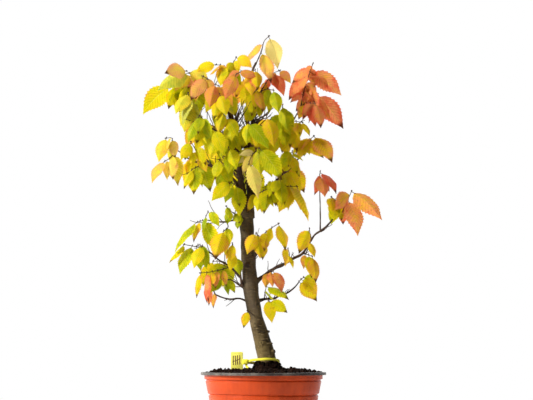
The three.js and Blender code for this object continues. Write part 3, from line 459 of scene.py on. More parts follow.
# The pot's section from the axis out along its underside, up, over the rim and down inside.
# Each corner is its radius, its height and how far it is rounded.
def potSection():
    p = pot
    wall, slant, groove, depth = p["wall"], p["slant"], p["grooveHeight"], p["grooveDepth"]
    lipHeight = p["height"] - wall - p["rimLip"]
    shoulderIn, shoulderLow = p["shoulderRadius"] - slant, p["shoulderHeight"] - slant
    neckIn, neckLow = p["neckRadius"] - p["neckStep"], p["neckHeight"] - p["neckDrop"]
    channel = [
        (p["channelInner"] - slant, 0),
        (p["channelInner"] + slant, p["channelRise"]),
        (p["channelOuter"] - slant, p["channelRise"]),
        (p["channelOuter"] + slant, 0),
    ]
    outer = [
        (0, 0, 0),
        *[(radius, height, 0.6) for radius, height in channel],
        (p["footRadius"] - slant, 0, 0.5),
        (p["footRadius"], p["footRise"], 0.5),
        (shoulderIn, shoulderLow - groove - depth, 0.3),
        (shoulderIn - depth, shoulderLow - groove, 0.3),
        (shoulderIn - depth, shoulderLow, 0.2),
        (p["shoulderRadius"], p["shoulderHeight"], 0.4),
        (neckIn - p["neckLean"], neckLow - groove - depth, 0.3),
        (neckIn - p["neckLean"] - depth, neckLow - groove, 0.3),
        (neckIn - depth, neckLow, 0.2),
        (p["neckRadius"], p["neckHeight"], 0.5),
        (p["neckRadius"], lipHeight, 0.4),
    ]
    inner = [
        (p["rimRadius"] - wall, lipHeight, 0.4),
        (p["rimRadius"] - wall, p["height"] - p["rimDrop"], 0.3),
        (p["rimRadius"], p["height"] - p["rimDrop"], 0.5),
        (p["rimRadius"], p["height"], 0.9),
        (p["neckRadius"] - wall, p["height"], 0.9),
        (p["neckRadius"] - wall, p["neckHeight"], 0.5),
        (neckIn - wall, neckLow, 0.6),
        (p["shoulderRadius"] - wall, p["shoulderHeight"], 0.4),
        (shoulderIn - wall, shoulderLow, 0.6),
        (p["footRadius"] - wall, p["floor"] + p["footRise"], 0.5),
        (p["footRadius"] - wall - slant, p["floor"], 0.5),
        *[(radius, height + p["floor"], 0.6) for radius, height in reversed(channel)],
        (0, p["floor"], 0),
    ]
    return outer, inner


# Corners rounded by a short quadratic curve of four points, within 0.45 of the straights beside them.
def roundedSection(corners):
    found = []
    for index, (radius, height, rounding) in enumerate(corners):
        here = Vector((radius, height))
        if rounding == 0:
            found.append(here)
            continue
        runs = [Vector(corners[i % len(corners)][:2]) - here for i in (index - 1, index + 1)]
        start, end = [here + run.normalized() * min(rounding, run.length * 0.45) for run in runs]
        for t in (0, 0.33, 0.67, 1):
            found.append(start * (1 - t) ** 2 + here * 2 * t * (1 - t) + end * t ** 2)
    return found


# A section turned about the axis. From its point secondFrom on, its faces take the second material.
def turned(name, section, segments, materials, secondFrom=None):
    vertices, faces, shades, rings = [], [], [], []
    for radius, height in section:
        if radius < 1e-6:
            rings.append([len(vertices)] * segments)
            vertices.append((0, 0, height))
            continue
        rings.append(list(range(len(vertices), len(vertices) + segments)))
        for side in range(segments):
            angle = 2 * math.pi * side / segments
            vertices.append((radius * math.cos(angle), radius * math.sin(angle), height))
    for index, (low, high) in enumerate(zip(rings, rings[1:])):
        faces += ringFaces(low, high)
        shades += [1 if secondFrom is not None and index >= secondFrom else 0] * segments
    return objectOf(name, vertices, faces, materials, shades)


def makeDrainTree():
    tree, given, out = newTree(
        "drainHoles",
        Count=("NodeSocketInt", 6),
        Ring_radius=("NodeSocketFloat", 0.039),
        Hole_radius=("NodeSocketFloat", 0.0045),
    )
    feeds = {"Vertices": given["Count"], "Radius": given["Ring radius"]}
    ring = addNode(tree, "GeometryNodeMeshCircle", feeds)
    length = pot["drillLength"] * mm
    feeds = {"Vertices": pot["drillSides"], "Radius": given["Hole radius"], "Depth": length}
    drill = addNode(tree, "GeometryNodeMeshCylinder", feeds)
    holes = realized(tree, copies(tree, ring.outputs[0], drill.outputs[0]).outputs[0])
    feeds = {"Geometry": holes, "Rotation": (0, 0, math.pi / pot["drainHoles"])}
    turn = addNode(tree, "GeometryNodeTransform", feeds)
    feeds = {0: given["Geometry"], 1: turn.outputs[0]}
    put(tree, out, addNode(tree, "GeometryNodeMeshBoolean", feeds, operation="DIFFERENCE").outputs[0])
    return tree


def makePot():
    outer, inner = potSection()
    section = roundedSection(outer + inner)
    blackFrom = len(roundedSection(outer)) - 1
    thing = turned("nurseryPot", section, pot["segments"], [clayPlastic, rimPlastic], blackFrom)
    ring = (pot["channelInner"] + pot["channelOuter"]) / 2
    grow(thing, makeDrainTree(), Count=pot["drainHoles"], Ring_radius=ring * mm,
         Hole_radius=pot["drainRadius"] * mm)
    settle(thing)
    finished(thing, "pot", "pot")


clayPlastic = makeClayPlastic()
rimPlastic = makeRimPlastic()
makePot()


# Soil: near black, crumbly, heaped round the trunk.

soil = {
    "edgeHeight": 127.6,
    "middleHeight": 132,
    "domeHeight": 13.5,
    "domeRadius": 18,
    "domeMiddle": 5.5,
    "steepness": 6,
    "lump": 1.1,
    "lumpFade": 6,
    "wave": {"alongX": 0.31, "shift": 1.7, "alongY": 0.27},
    "crossWave": {"height": 0.6, "alongX": 0.53, "alongY": 0.61, "shift": 0.4},
    "fineLump": 2.2,
    "fineFade": 12,
    "fineScale": 0.16,
    "fineNoise": (0.9, 2.1, 5),
    "gap": 0.3,
    "rings": 84,
    "segments": 168,
    "seed": 4,
    "crumbDensity": 0.13,
    "crumbSmall": 0.55,
    "crumbLarge": 3.6,
    "crumbPower": 3.0,
    "crumbLevel": 0.35,
    "crumbDepth": 4,
    "crumbTurn": (6.28, 6.28, 6.28),
    "crumbTurnSeed": 7,
    "crumbStretchSeed": 9,
    "crumbStretch": ((0.6, 0.6, 0.6), (1.5, 1.2, 1.0)),
    "crumbBreak": 1.6,
    "crumbBreakScale": 420.0,
    "dark": "#0d0704",
    "brown": "#2a170e",
    "grit": "#443326",
}


def soilHeight(x, y):
    s, wave, cross = soil, soil["wave"], soil["crossWave"]
    radius = math.hypot(x, y) / (pot["neckRadius"] - pot["wall"])
    heap = s["edgeHeight"] + (s["middleHeight"] - s["edgeHeight"]) * (1 - radius ** s["steepness"])
    fromTrunk = math.hypot(x - s["domeMiddle"], y) / s["domeRadius"]
    dome = s["domeHeight"] * math.exp(-(fromTrunk ** s["steepness"]))
    lumps = math.sin(x * wave["alongX"] + wave["shift"]) * math.cos(y * wave["alongY"])
    lumps += cross["height"] * math.sin(x * cross["alongX"] - y * cross["alongY"] + cross["shift"])
    fine = noise.fractal(Vector((x, y, 3)) * s["fineScale"], *s["fineNoise"]) * s["fineLump"]
    lumps *= s["lump"] * min(1, s["lumpFade"] * (1 - radius))
    fine *= min(1, s["fineFade"] * (1 - radius))
    return heap + dome + lumps + fine


def makeSoilMaterial():
    material, tree, shader = newMaterial("moist soil", Roughness=0.95, Specular_IOR_Level=0.08)
    clods = grain(tree, scale=130, detail=8, roughness=0.7)
    grains = grain(tree, scale=900, detail=3, roughness=0.6)
    base = ramp(tree, clods, [(0.38, soil["dark"]), (0.72, soil["brown"])])
    gritty = between(tree, grains, low=0.68, high=0.8, toHigh=0.4)
    put(tree, shader.inputs["Base Color"], blended(tree, gritty, base, soil["grit"]))
    bumped(tree, shader, calc(tree, "ADD", clods, times(tree, grains, 0.4)), distance=0.0012, strength=0.9)
    return material


# Loose crumbs on the upper faces of the soil, most of them small, each broken by a noise.
def makeCrumbTree():
    tree, given, out = newTree(
        "soilCrumbs",
        Density=("NodeSocketFloat", 0.1),
        Small=("NodeSocketFloat", 0.001),
        Large=("NodeSocketFloat", 0.002),
        Seed=("NodeSocketInt", 1),
        Material=("NodeSocketMaterial", None),
    )
    position = addNode(tree, "GeometryNodeInputPosition").outputs[0]
    normal = addNode(tree, "GeometryNodeInputNormal").outputs[0]
    feeds = {"A": parts(tree, normal)["Z"], "B": soil["crumbLevel"]}
    isLevel = addNode(tree, "FunctionNodeCompare", feeds, operation="GREATER_THAN").outputs[0]
    lowest = (soil["edgeHeight"] - soil["crumbDepth"]) * mm
    isHigh = calc(tree, "GREATER_THAN", parts(tree, position)["Z"], lowest)
    feeds = {"Mesh": given["Geometry"], "Selection": times(tree, isLevel, isHigh),
             "Density": given["Density"], "Seed": given["Seed"]}
    scatter = addNode(tree, "GeometryNodeDistributePointsOnFaces", feeds)
    crumb = addNode(tree, "GeometryNodeMeshIcoSphere", {"Radius": 1.0, "Subdivisions": 1})
    draw = addNode(tree, "FunctionNodeRandomValue", {"Seed": given["Seed"]})
    uneven = calc(tree, "POWER", draw.outputs[1], soil["crumbPower"])
    size = between(tree, uneven, low=0, high=1, toLow=given["Small"], toHigh=given["Large"])
    feeds = {"Seed": soil["crumbTurnSeed"], 1: soil["crumbTurn"]}
    turn = addNode(tree, "FunctionNodeRandomValue", feeds, data_type="FLOAT_VECTOR")
    narrow, wide = soil["crumbStretch"]
    feeds = {"Seed": soil["crumbStretchSeed"], 0: narrow, 1: wide}
    stretch = addNode(tree, "FunctionNodeRandomValue", feeds, data_type="FLOAT_VECTOR")
    spread = copies(tree, scatter.outputs["Points"], crumb.outputs["Mesh"])
    put(tree, spread.inputs["Rotation"], turn.outputs[0])
    put(tree, spread.inputs["Scale"], scaled(tree, stretch.outputs[0], size))
    feeds = {"Vector": position, "Scale": soil["crumbBreakScale"], "Detail": 2.0}
    rough = addNode(tree, "ShaderNodeTexNoise", feeds).outputs["Color"]
    push = scaled(tree, calcVector(tree, "SUBTRACT", rough, (0.5, 0.5, 0.5)), soil["crumbBreak"] * mm)
    feeds = {"Geometry": realized(tree, spread.outputs[0]), "Offset": push}
    broken = addNode(tree, "GeometryNodeSetPosition", feeds).outputs[0]
    put(tree, out, covered(tree, joined(tree, given["Geometry"], broken), given["Material"]))
    return tree


# The soil fills the pot: its sides and floor follow the pot's inside, a small gap away.
def makeSoil():
    gap = soil["gap"]
    _, inner = potSection()
    inside = [(r, z) for r, z, _ in inner if r < pot["neckRadius"] and z < soil["edgeHeight"]]
    under = [Vector((max(r - gap, 0) if z > pot["floor"] + 1 else r, z + gap)) for r, z in inside]
    section = list(reversed(under))
    wallRadius = pot["neckRadius"] - pot["wall"] - gap
    section.append(Vector((wallRadius, soil["edgeHeight"] - 1)))
    start = len(section)
    for ring in range(soil["rings"] + 1):
        section.append(Vector((wallRadius * (1 - ring / soil["rings"]), soil["middleHeight"])))
    thing = turned("pottingSoil", section, soil["segments"], [soilMaterial])
    low = start * soil["segments"] - (soil["segments"] - 1)
    for vertex in thing.data.vertices[low:]:
        vertex.co.z = soilHeight(vertex.co.x / mm, vertex.co.y / mm) * mm
    grow(thing, makeCrumbTree(), Density=soil["crumbDensity"] / mm ** 2, Small=soil["crumbSmall"] * mm,
         Large=soil["crumbLarge"] * mm, Seed=soil["seed"], Material=soilMaterial)
    settle(thing)
    finished(thing, "soil", "soil")


soilMaterial = makeSoilMaterial()
makeSoil()


# Marker tie: a yellow plastic flag in the soil, with a head and a ribbed strap round the trunk.

tie = {
    "flagLeft": -44,
    "flagRight": -27.7,
    "flagBottom": 127,
    "flagTop": 157.5,
    "flagCorner": 1.6,
    "flagThickness": 1.2,
    "headLeft": -28.5,
    "headRight": -20.6,
    "headBottom": 140.6,
    "headTop": 147.8,
    "headThickness": 4,
    "headRounding": 0.7,
    "lipInset": 1.4,
    "lipOut": 0.5,
    "edgeRounding": 0.3,
    "front": -13,
    "strapHeight": 3.4,
    "strapThickness": 1,
    "strapSteps": 90,
    "strapMiddle": -1,
    "strapLine": [[-22, -13, 145], [-14, -15.8, 146.6], [-2, -17.6, 147.6], [9, -16, 147.8],
                  [18, -9.5, 146.6], [21.8, 0, 144.6], [19, 10.5, 142.6], [9, 17, 142], [-3, 17.6, 142],
                  [-14, 12, 142.4], [-20.5, 2, 143], [-22.5, -7, 143.4], [-24, -13, 143.6]],
    "tail": [[-23.5, -13, 142], [-23, -13.4, 138.5], [-20.5, -14.2, 135.6]],
    "tailSteps": 10,
    "tailNarrower": 0.9,
    "ridgeStep": 1.5,
    "ridgeSize": (0.6, 0.35, 2.0),
    "ridgeLineSteps": 120,
    "ridgeFree": 4,
    "ridgeOut": 0.45,
    "tallySeed": 3,
    "tallyLeft": -41.4,
    "tallyStep": 2.9,
    "tallyBottom": 140,
    "tallyHeight": 12.5,
    "tallyWidth": 1.3,
    "tallyVaries": {"left": 0.2, "bottom": 0.5, "lean": 0.06},
    "crossHalfHeight": 0.45,
    "crossEnds": (1, 2),
    "crossLean": -0.42,
    "inkLift": 0.12,
    "crossLift": 0.14,
    "inkDepth": 0.3,
    "inkRounding": 0.07,
    "yellow": "#fff648",
    "yellowWorn": "#e3d21c",
    "flagYellow": "#f8f069",
    "flagWorn": "#e9df6a",
    "ink": "#5a3a20",
    "inkWorn": "#8a6a3c",
}


def makeTiePlastic(name, shade, worn):
    material, tree, shader = newMaterial(name, Roughness=0.42, IOR=1.46)
    tinted = between(tree, grain(tree, scale=90, detail=5, roughness=0.6), low=0.45, high=0.75, toHigh=0.35)
    put(tree, shader.inputs["Base Color"], blended(tree, tinted, shade, worn))
    bumped(tree, shader, grain(tree, scale=700, detail=3), distance=0.0001, strength=0.5)
    return material


def makeInk():
    material, tree, shader = newMaterial("brown marker ink", Roughness=0.7)
    patchy = grain(tree, scale=500, detail=3)
    put(tree, shader.inputs["Base Color"], ramp(tree, patchy, [(0.3, tie["ink"]), (0.75, tie["inkWorn"])]))
    return material


# A box between two corners, turned about its middle in the front plane.
def boxShape(low, high, material, lean=0.0):
    corners = [(x, y, z) for x in (low[0], high[0]) for y in (low[1], high[1]) for z in (low[2], high[2])]
    middle = (Vector(low) + Vector(high)) / 2
    turn = Matrix.Rotation(lean, 4, "Y")
    points = [middle + turn @ (Vector(corner) - middle) for corner in corners]
    faces = [(0, 1, 3, 2), (4, 6, 7, 5), (0, 4, 5, 1), (2, 3, 7, 6), (0, 2, 6, 4), (1, 5, 7, 3)]
    return objectOf("box", points, faces, [material])


def bevelled(thing, width, segments=3):
    modifier = thing.modifiers.new("edges", "BEVEL")
    modifier.width = width * mm
    modifier.segments = segments
    modifier.limit_method = "ANGLE"
    return settle(thing)


def makeFlag():
    t = tie
    half = t["flagThickness"] / 2
    corner = t["flagCorner"]
    outline = [(t["flagLeft"], t["flagBottom"]), (t["flagRight"], t["flagBottom"])]
    for hand, x in ((1, t["flagRight"]), (-1, t["flagLeft"])):
        angles = [i * math.pi / 10 for i in range(6)]
        for angle in angles if hand > 0 else reversed(angles):
            inward = hand * corner * (1 - math.cos(angle))
            outline.append((x - inward, t["flagTop"] - corner * (1 - math.sin(angle))))
    count = len(outline)
    vertices = [(x, y, z) for y in (t["front"] - half, t["front"] + half) for x, z in outline]
    faces = [tuple(range(count)), tuple(reversed(range(count, 2 * count)))]
    for i in range(count):
        after = (i + 1) % count
        faces.append((after, i, i + count, after + count))
    return bevelled(objectOf("flag", vertices, faces, [flagPlastic]), t["edgeRounding"])


# A band that stays upright along its line, with its narrow edges rounded.
def makeBand(name, line, steps, width, thickness, material):
    points = evenPoints(line, steps)
    profile = [(-1, -0.7), (-0.7, -1), (0.7, -1), (1, -0.7), (1, 0.7), (0.7, 1), (-0.7, 1), (-1, 0.7)]
    vertices = []
    for step, point in enumerate(points):
        along = points[min(step + 1, steps)] - points[max(step - 1, 0)]
        along.normalize()
        out = along.cross(Vector((0, 0, 1))) if abs(along.z) < 0.7 else Vector((0, -1, 0))
        out.normalize()
        up = out.cross(along).normalized()
        for across, lift in profile:
            vertices.append(point + out * across * thickness / 2 + up * lift * width / 2)
    sides = len(profile)
    rings = [list(range(step * sides, (step + 1) * sides)) for step in range(steps + 1)]
    faces = [face for low, high in zip(rings, rings[1:]) for face in ringFaces(low, high)]
    faces += [tuple(reversed(rings[0])), tuple(rings[-1])]
    return objectOf(name, vertices, faces, [material])


def makeRidgeTree():
    tree, given, out = newTree(
        "strapRidges",
        Line=("NodeSocketObject", None),
        Step=("NodeSocketFloat", 0.0015),
        Size=("NodeSocketVector", (0.0007, 0.0005, 0.002)),
        Material=("NodeSocketMaterial", None),
    )
    curve = addNode(tree, "GeometryNodeMeshToCurve", {"Mesh": shapeOf(tree, given["Line"])}).outputs[0]
    even = addNode(tree, "GeometryNodeResampleCurve", {"Curve": curve}, mode="LENGTH")
    put(tree, even.inputs["Length"], given["Step"])
    bar = addNode(tree, "GeometryNodeMeshCube", {"Size": given["Size"]}).outputs[0]
    tangent = addNode(tree, "GeometryNodeInputTangent").outputs[0]
    turn = addNode(tree, "FunctionNodeAxesToRotation", {0: tangent, 1: (0, 0, 1)})
    turn.primary_axis = "X"
    turn.secondary_axis = "Z"
    spread = copies(tree, even.outputs[0], bar)
    put(tree, spread.inputs["Rotation"], turn.outputs[0])
    ridges = covered(tree, realized(tree, spread.outputs[0]), given["Material"])
    put(tree, out, joined(tree, given["Geometry"], ridges))
    return tree


# The ridges' line runs just outside the strap's middle line.
def makeStrap():
    t = tie
    line, thickness = t["strapLine"], t["strapThickness"]
    strap = makeBand("strap", line, t["strapSteps"], t["strapHeight"], thickness, tiePlastic)
    outside = []
    for point in evenPoints(line, t["ridgeLineSteps"])[t["ridgeFree"]:-t["ridgeFree"]]:
        away = Vector((point.x - t["strapMiddle"], point.y, 0)).normalized()
        outside.append(point + away * thickness * t["ridgeOut"])
    mesh = bpy.data.meshes.new("ridgeLine")
    mesh.from_pydata([point * mm for point in outside], [(i, i + 1) for i in range(len(outside) - 1)], [])
    guide = link(bpy.data.objects.new("ridgeLine", mesh))
    grow(strap, makeRidgeTree(), Line=guide, Step=t["ridgeStep"] * mm, Material=tiePlastic,
         Size=Vector(t["ridgeSize"]) * mm)
    settle(strap)
    bpy.data.objects.remove(guide)
    return strap


# Five tally strokes in brown marker, four upright and one across them, laid on the flag's front.
def makeTally():
    t, varies = tie, tie["tallyVaries"]
    front = t["front"] - t["flagThickness"] / 2
    back = front + t["inkDepth"]
    draw = random.Random(t["tallySeed"])
    strokes = []
    for stroke in range(4):
        left = t["tallyLeft"] + stroke * t["tallyStep"] + draw.uniform(-varies["left"], varies["left"])
        bottom = t["tallyBottom"] + draw.uniform(-varies["bottom"], varies["bottom"])
        low = (left, front - t["inkLift"], bottom)
        high = (left + t["tallyWidth"], back, bottom + t["tallyHeight"])
        strokes.append(boxShape(low, high, ink, draw.uniform(-varies["lean"], varies["lean"])))
    middle = t["tallyBottom"] + t["tallyHeight"] / 2
    before, beyond = t["crossEnds"]
    low = (t["tallyLeft"] - before, front - t["crossLift"], middle - t["crossHalfHeight"])
    high = (t["tallyLeft"] + 3 * t["tallyStep"] + beyond, back, middle + t["crossHalfHeight"])
    strokes.append(boxShape(low, high, ink, t["crossLean"]))
    return [bevelled(stroke, t["inkRounding"], segments=2) for stroke in strokes]


def joinedTo(thing, others):
    with bpy.context.temp_override(active_object=thing, selected_editable_objects=[thing, *others]):
        bpy.ops.object.join()


def makeTie():
    t, inset = tie, tie["lipInset"]
    half = t["headThickness"] / 2
    low = (t["headLeft"], t["front"] - half, t["headBottom"])
    high = (t["headRight"], t["front"] + half, t["headTop"])
    head = bevelled(boxShape(low, high, tiePlastic), t["headRounding"])
    lipLow = (low[0] + inset, low[1] - t["lipOut"], low[2] + inset)
    lipHigh = (high[0] - inset, low[1] + 1, high[2] - inset)
    lip = boxShape(lipLow, lipHigh, tiePlastic)
    tailHeight = t["strapHeight"] * t["tailNarrower"]
    tail = makeBand("tail", t["tail"], t["tailSteps"], tailHeight, t["strapThickness"], tiePlastic)
    flag = makeFlag()
    joinedTo(flag, [head, bevelled(lip, t["edgeRounding"]), makeStrap(), tail, *makeTally()])
    flag.name = "markerTie"
    flag.data.name = "markerTie"
    finished(flag, "tie", "marker_tie")


tiePlastic = makeTiePlastic("yellow tie plastic", tie["yellow"], tie["yellowWorn"])
flagPlastic = makeTiePlastic("faded yellow plastic", tie["flagYellow"], tie["flagWorn"])
ink = makeInk()
makeTie()


# Bark and limbs. Lines are [x, y, z] in mm up the middle of the wood.

trunk = {
    "line": [[5, 0, 98], [6, 0, 118], [5.5, 0, 135], [3.2, 0, 153], [-1, 0, 170], [-7.5, 0, 194],
             [-12.2, 0, 214], [-15.6, 0, 231], [-18, 0, 256], [-20.3, 0, 280], [-22, 0, 312],
             [-23.6, 0, 337], [-23, 1, 352]],
    "radii": [10, 13, 13.2, 11.9, 11, 9.8, 10.1, 10.9, 10, 9.9, 9, 9.5, 8.8],
    "rings": 150,
    "segments": 40,
    "lobes": [(2, 0.045, 0.021), (3, 0.035, -0.034)],
    "endFrom": 0.965,
    "endShare": 0.035,
    "voxel": 0.85,
    "smoothing": 5,
    "smoothingFactor": 0.5,
    "collar": {"rings": 80, "segments": 20, "length": 26, "leaderTimes": 3, "straight": 9, "flare": 1.1,
               "flareShare": 0.3, "flareReach": 5, "wider": 1.02, "narrows": 0.3},
    "stub": {"rings": 12, "segments": 16, "reach": 1.16, "wider": 1.9, "narrows": 0.6},
    "lump": 0.55,
    "lumpScale": 0.09,
    "band": 0.18,
    "bandScale": (0.16, 0.16, 0.75),
    "bandNoise": (0.8, 2.2, 4),
    "flute": 0.35,
    "fluteScale": (0.22, 0.22, 0.025),
    "scarLip": {"height": 0.9, "width": 0.45},
    "scarPit": {"depth": 0.8, "width": 0.6},
    "limbFrom": 1.12,
    "limbFade": 2.5,
    "wirePiece": 2.2,
    "wireSides": 9,
    "swelling": (0.16, 0.13),
    "wobble": (0.05, 0.5),
    "greyAbove": (0.17, 0.22),
    "barkLight": "#79683e",
    "barkMiddle": "#544527",
    "barkDark": "#2e2412",
    "lenticel": "#a48c63",
    "pit": "#1a120c",
    "weathered": "#453b34",
    "limbBrown": "#33241c",
    "twigBrown": "#2c1b18",
    "twigGrey": "#57412f",
}

# Each limb: its line, then its radius at the root and at the end.
limbs = {
    "leftLeader": (
        [[-26, 0, 340], [-27, 0, 360], [-31, -3, 392], [-36, -5, 418], [-37, -7, 439], [-41, -8, 466],
         [-48, -8, 500], [-47, -7, 518], [-45, -6, 532]], 7, 1.6),
    "rightLeader": (
        [[-20, 1, 340], [-18, 2, 362], [-20, 5, 391], [-20, 7, 418], [-18, 8, 452], [-13, 8, 493],
         [-15, 7, 527], [-15, 6, 542], [-10, 5, 553]], 6.2, 1.3),
    "rightBough": (
        [[-16, 0, 248], [-3, -3, 258], [14, -7, 270], [25, -9, 275], [41, -11, 284], [54, -12, 292],
         [68, -12, 314], [77, -11, 321], [85, -10, 327], [98, -9, 341], [107, -8, 348]], 3.4, 1),
    "rightLowBranch": (
        [[-14, 0, 224], [1, 6, 229], [14, 11, 230], [22, 14, 234], [33, 16, 238], [42, 17, 245],
         [48, 17, 252]], 2.4, 0.9),
    "frontSpur": (
        [[-20, -2, 271], [-13, -8, 284], [-6, -14, 296], [-5, -16, 306]], 2.8, 1.1),
    "leftLowTwig": (
        [[-12, 0, 220], [-27, 4, 228], [-35, 6, 230], [-45, 9, 229], [-55, 10, 231],
         [-65, 10, 235]], 2, 0.9),
    "leftBackTwig": (
        [[-13, 2, 236], [-30, 10, 246], [-38, 14, 252], [-46, 17, 256]], 2, 0.9),
    "leftRising": (
        [[-14, -3, 232], [-27, -6, 245], [-30, -9, 253], [-33, -12, 269], [-37, -14, 282]], 3.2, 1.1),
    "leftReaching": (
        [[-31, -9.5, 258], [-43, -8, 271], [-52, -6, 277], [-62, -5, 283], [-71, -5, 291],
         [-78, -5, 295], [-87, -5, 299]], 1.8, 0.9),
    "leftLevel": (
        [[-22, 0, 333], [-33, -2, 335], [-42, -3, 336], [-50, -4, 334], [-63, -5, 334],
         [-75, -6, 336]], 2, 0.9),
    "leftUpper": (
        [[-27, 0, 371], [-34, -4, 381], [-43, -7, 394], [-59, -10, 404], [-72, -12, 410],
         [-84, -13, 412], [-92, -14, 415], [-103, -14, 420], [-113, -14, 428]], 2.8, 0.9),
    "leftHigh": (
        [[-36, -5, 421], [-43, -9, 439], [-52, -12, 450], [-69, -16, 460], [-79, -18, 465],
         [-88, -18, 475], [-95, -17, 486]], 2.8, 0.9),
    "leftCrest": (
        [[-41, -8, 462], [-48, -10, 482], [-58, -12, 492], [-69, -13, 503], [-71, -13, 514],
         [-72, -12.5, 521], [-79, -12, 525], [-88, -12, 528]], 2.6, 0.9),
    "rightFan": (
        [[-22, 2, 366], [-8, 6, 376], [3, 7, 382], [13, 7, 387], [25, 6, 399], [36, 4, 410],
         [47, 2, 420], [54, 0, 433]], 2.8, 0.9),
    "rightHigh": (
        [[-20, 5, 391], [-7, 4, 412], [12, 1, 432], [24, -1, 444], [33, -2, 458], [39, -3, 469],
         [46, -4, 482]], 3.2, 0.9),
}

# Dead stubs: place, direction with length, and radius.
stubs = [
    ((-2, -1, 184), (9, -4, 1), 1.4),
    ((3, -2, 168), (8, -6, 1), 1.3),
    ((5, -3, 157), (9, -5, 1), 2),
    ((-24, -4, 273), (2, -9, 3), 2.6),
]

# Healed scars on the bark's front: x, height and radius.
scars = [
    (-18.4, 274, 3.4),
    (-2.2, 169.5, 1.7),
    (-3.4, 165.6, 1.4),
    (-11, 205, 1.6),
    (-19, 300, 1.8),
    (-9, 222, 1.5),
]

# Bare side twigs on each limb, and a tangle of longer ones on the inner half of the two leaders.
twiglets = {
    "seed": 21,
    "spacing": 7,
    "from": 0.16,
    "shortest": 10,
    "longest": 42,
    "radius": 0.62,
    "tip": 0.3,
    "rootShare": 0.6,
    "alongLimb": 0.75,
    "sideways": 0.85,
    "upwards": 0.45,
    "zigzag": 0.3,
    "rise": 0.05,
    "joint": 5,
    "bud": 1.15,
    "inner": 46,
    "innerFrom": 6,
    "innerTo": 0.66,
    "innerShortest": 20,
    "innerLongest": 62,
    "innerRadius": 1.25,
    "shorter": {"rightBough": 0.45, "rightLowBranch": 0.4, "leftLowTwig": 0.5, "leftReaching": 0.7,
                "rightFan": 0.5},
    "knob": 1.1,
    "knobScale": 130,
    "budSegments": 6,
    "budRings": 4,
    "budHalfSize": (0.34, 0.34, 0.5),
}


def makeBarkMaterial():
    material, tree, shader = newMaterial("zelkova bark", Roughness=0.85, Specular_IOR_Level=0.25)
    broad = grain(tree, scale=38, detail=6, roughness=0.6)
    bands = grain(tree, detail=5, roughness=0.65, stretch=(70, 70, 420))
    fine = grain(tree, detail=3, roughness=0.6, stretch=(500, 500, 900))
    mixture = calc(tree, "ADD", times(tree, broad, 0.72), times(tree, bands, 0.28))
    stops = [(0.33, trunk["barkDark"]), (0.47, trunk["barkMiddle"]), (0.68, trunk["barkLight"])]
    base = ramp(tree, mixture, stops)
    dashes = grain(tree, detail=2, roughness=0.5, stretch=(150, 150, 820))
    light = between(tree, dashes, low=0.64, high=0.69, toHigh=0.55)
    base = blended(tree, light, base, trunk["lenticel"])
    pits = grain(tree, detail=4, roughness=0.6, stretch=(120, 120, 640))
    dark = between(tree, pits, low=0.59, high=0.66, toHigh=0.8)
    base = blended(tree, dark, base, trunk["pit"])
    height = parts(tree, place(tree))["Z"]
    greyFrom, greyTo = trunk["greyAbove"]
    above = between(tree, height, low=greyFrom, high=greyTo, toHigh=0.75)
    patchy = between(tree, broad, low=0.36, high=0.6, toLow=0.35)
    base = blended(tree, times(tree, above, patchy), base, trunk["weathered"])
    onLimb = addNode(tree, "ShaderNodeAttribute", attribute_name="limbward", attribute_type="GEOMETRY")
    shade = times(tree, parts(tree, onLimb.outputs["Vector"])[0], 0.8)
    put(tree, shader.inputs["Base Color"], blended(tree, shade, base, trunk["limbBrown"]))
    relief = calc(tree, "ADD", times(tree, bands, 0.8), times(tree, fine, 0.3))
    relief = calc(tree, "ADD", relief, times(tree, light, 0.4))
    relief = calc(tree, "SUBTRACT", relief, times(tree, dark, 0.5))
    bumped(tree, shader, relief, distance=0.0011, strength=0.85)
    return material


def makeTwigMaterial():
    material, tree, shader = newMaterial("twig bark", Roughness=0.7, Specular_IOR_Level=0.25)
    patches = grain(tree, scale=160, detail=4, roughness=0.6)
    base = ramp(tree, patches, [(0.36, trunk["twigBrown"]), (0.66, trunk["twigGrey"])])
    put(tree, shader.inputs["Base Color"], base)
    bumped(tree, shader, grain(tree, scale=1400, detail=2), distance=0.0002, strength=0.6)
    return material


# A closed tube of rings round a line, each point's radius given by a function of share, angle and place.
def tubeShape(points, radiusAt, segments, vertices, faces):
    start = len(vertices)
    last = len(points) - 1
    across = Vector((0, 1, 0))
    for step, point in enumerate(points):
        along = (points[min(step + 1, last)] - points[max(step - 1, 0)]).normalized()
        across = (across - along * across.dot(along)).normalized()
        other = along.cross(across)
        for side in range(segments):
            angle = 2 * math.pi * side / segments
            out = across * math.sin(angle) - other * math.cos(angle)
            vertices.append(point + out * radiusAt(step / last, math.atan2(out.y, out.x), point))
    for step in range(last):
        for side in range(segments):
            after = (side + 1) % segments
            low, high = start + step * segments, start + (step + 1) * segments
            faces.append((low + side, high + side, high + after, low + after))
    faces.append(tuple(start + side for side in range(segments)))
    faces.append(tuple(start + last * segments + side for side in reversed(range(segments))))


# The trunk's radius, with lobes that turn about it as it rises, and rounded off at its end.
def trunkRadius(share, angle, point):
    lobes = sum(size * math.sin(count * angle + point.z * twist) for count, size, twist in trunk["lobes"])
    end = max(0, (share - trunk["endFrom"]) / trunk["endShare"])
    return mix(trunk["radii"], share) * (1 + lobes) * math.sqrt(max(0.05, 1 - end * end))


def limbRadius(limb, share):
    return mix(limb[1:], math.sqrt(share))


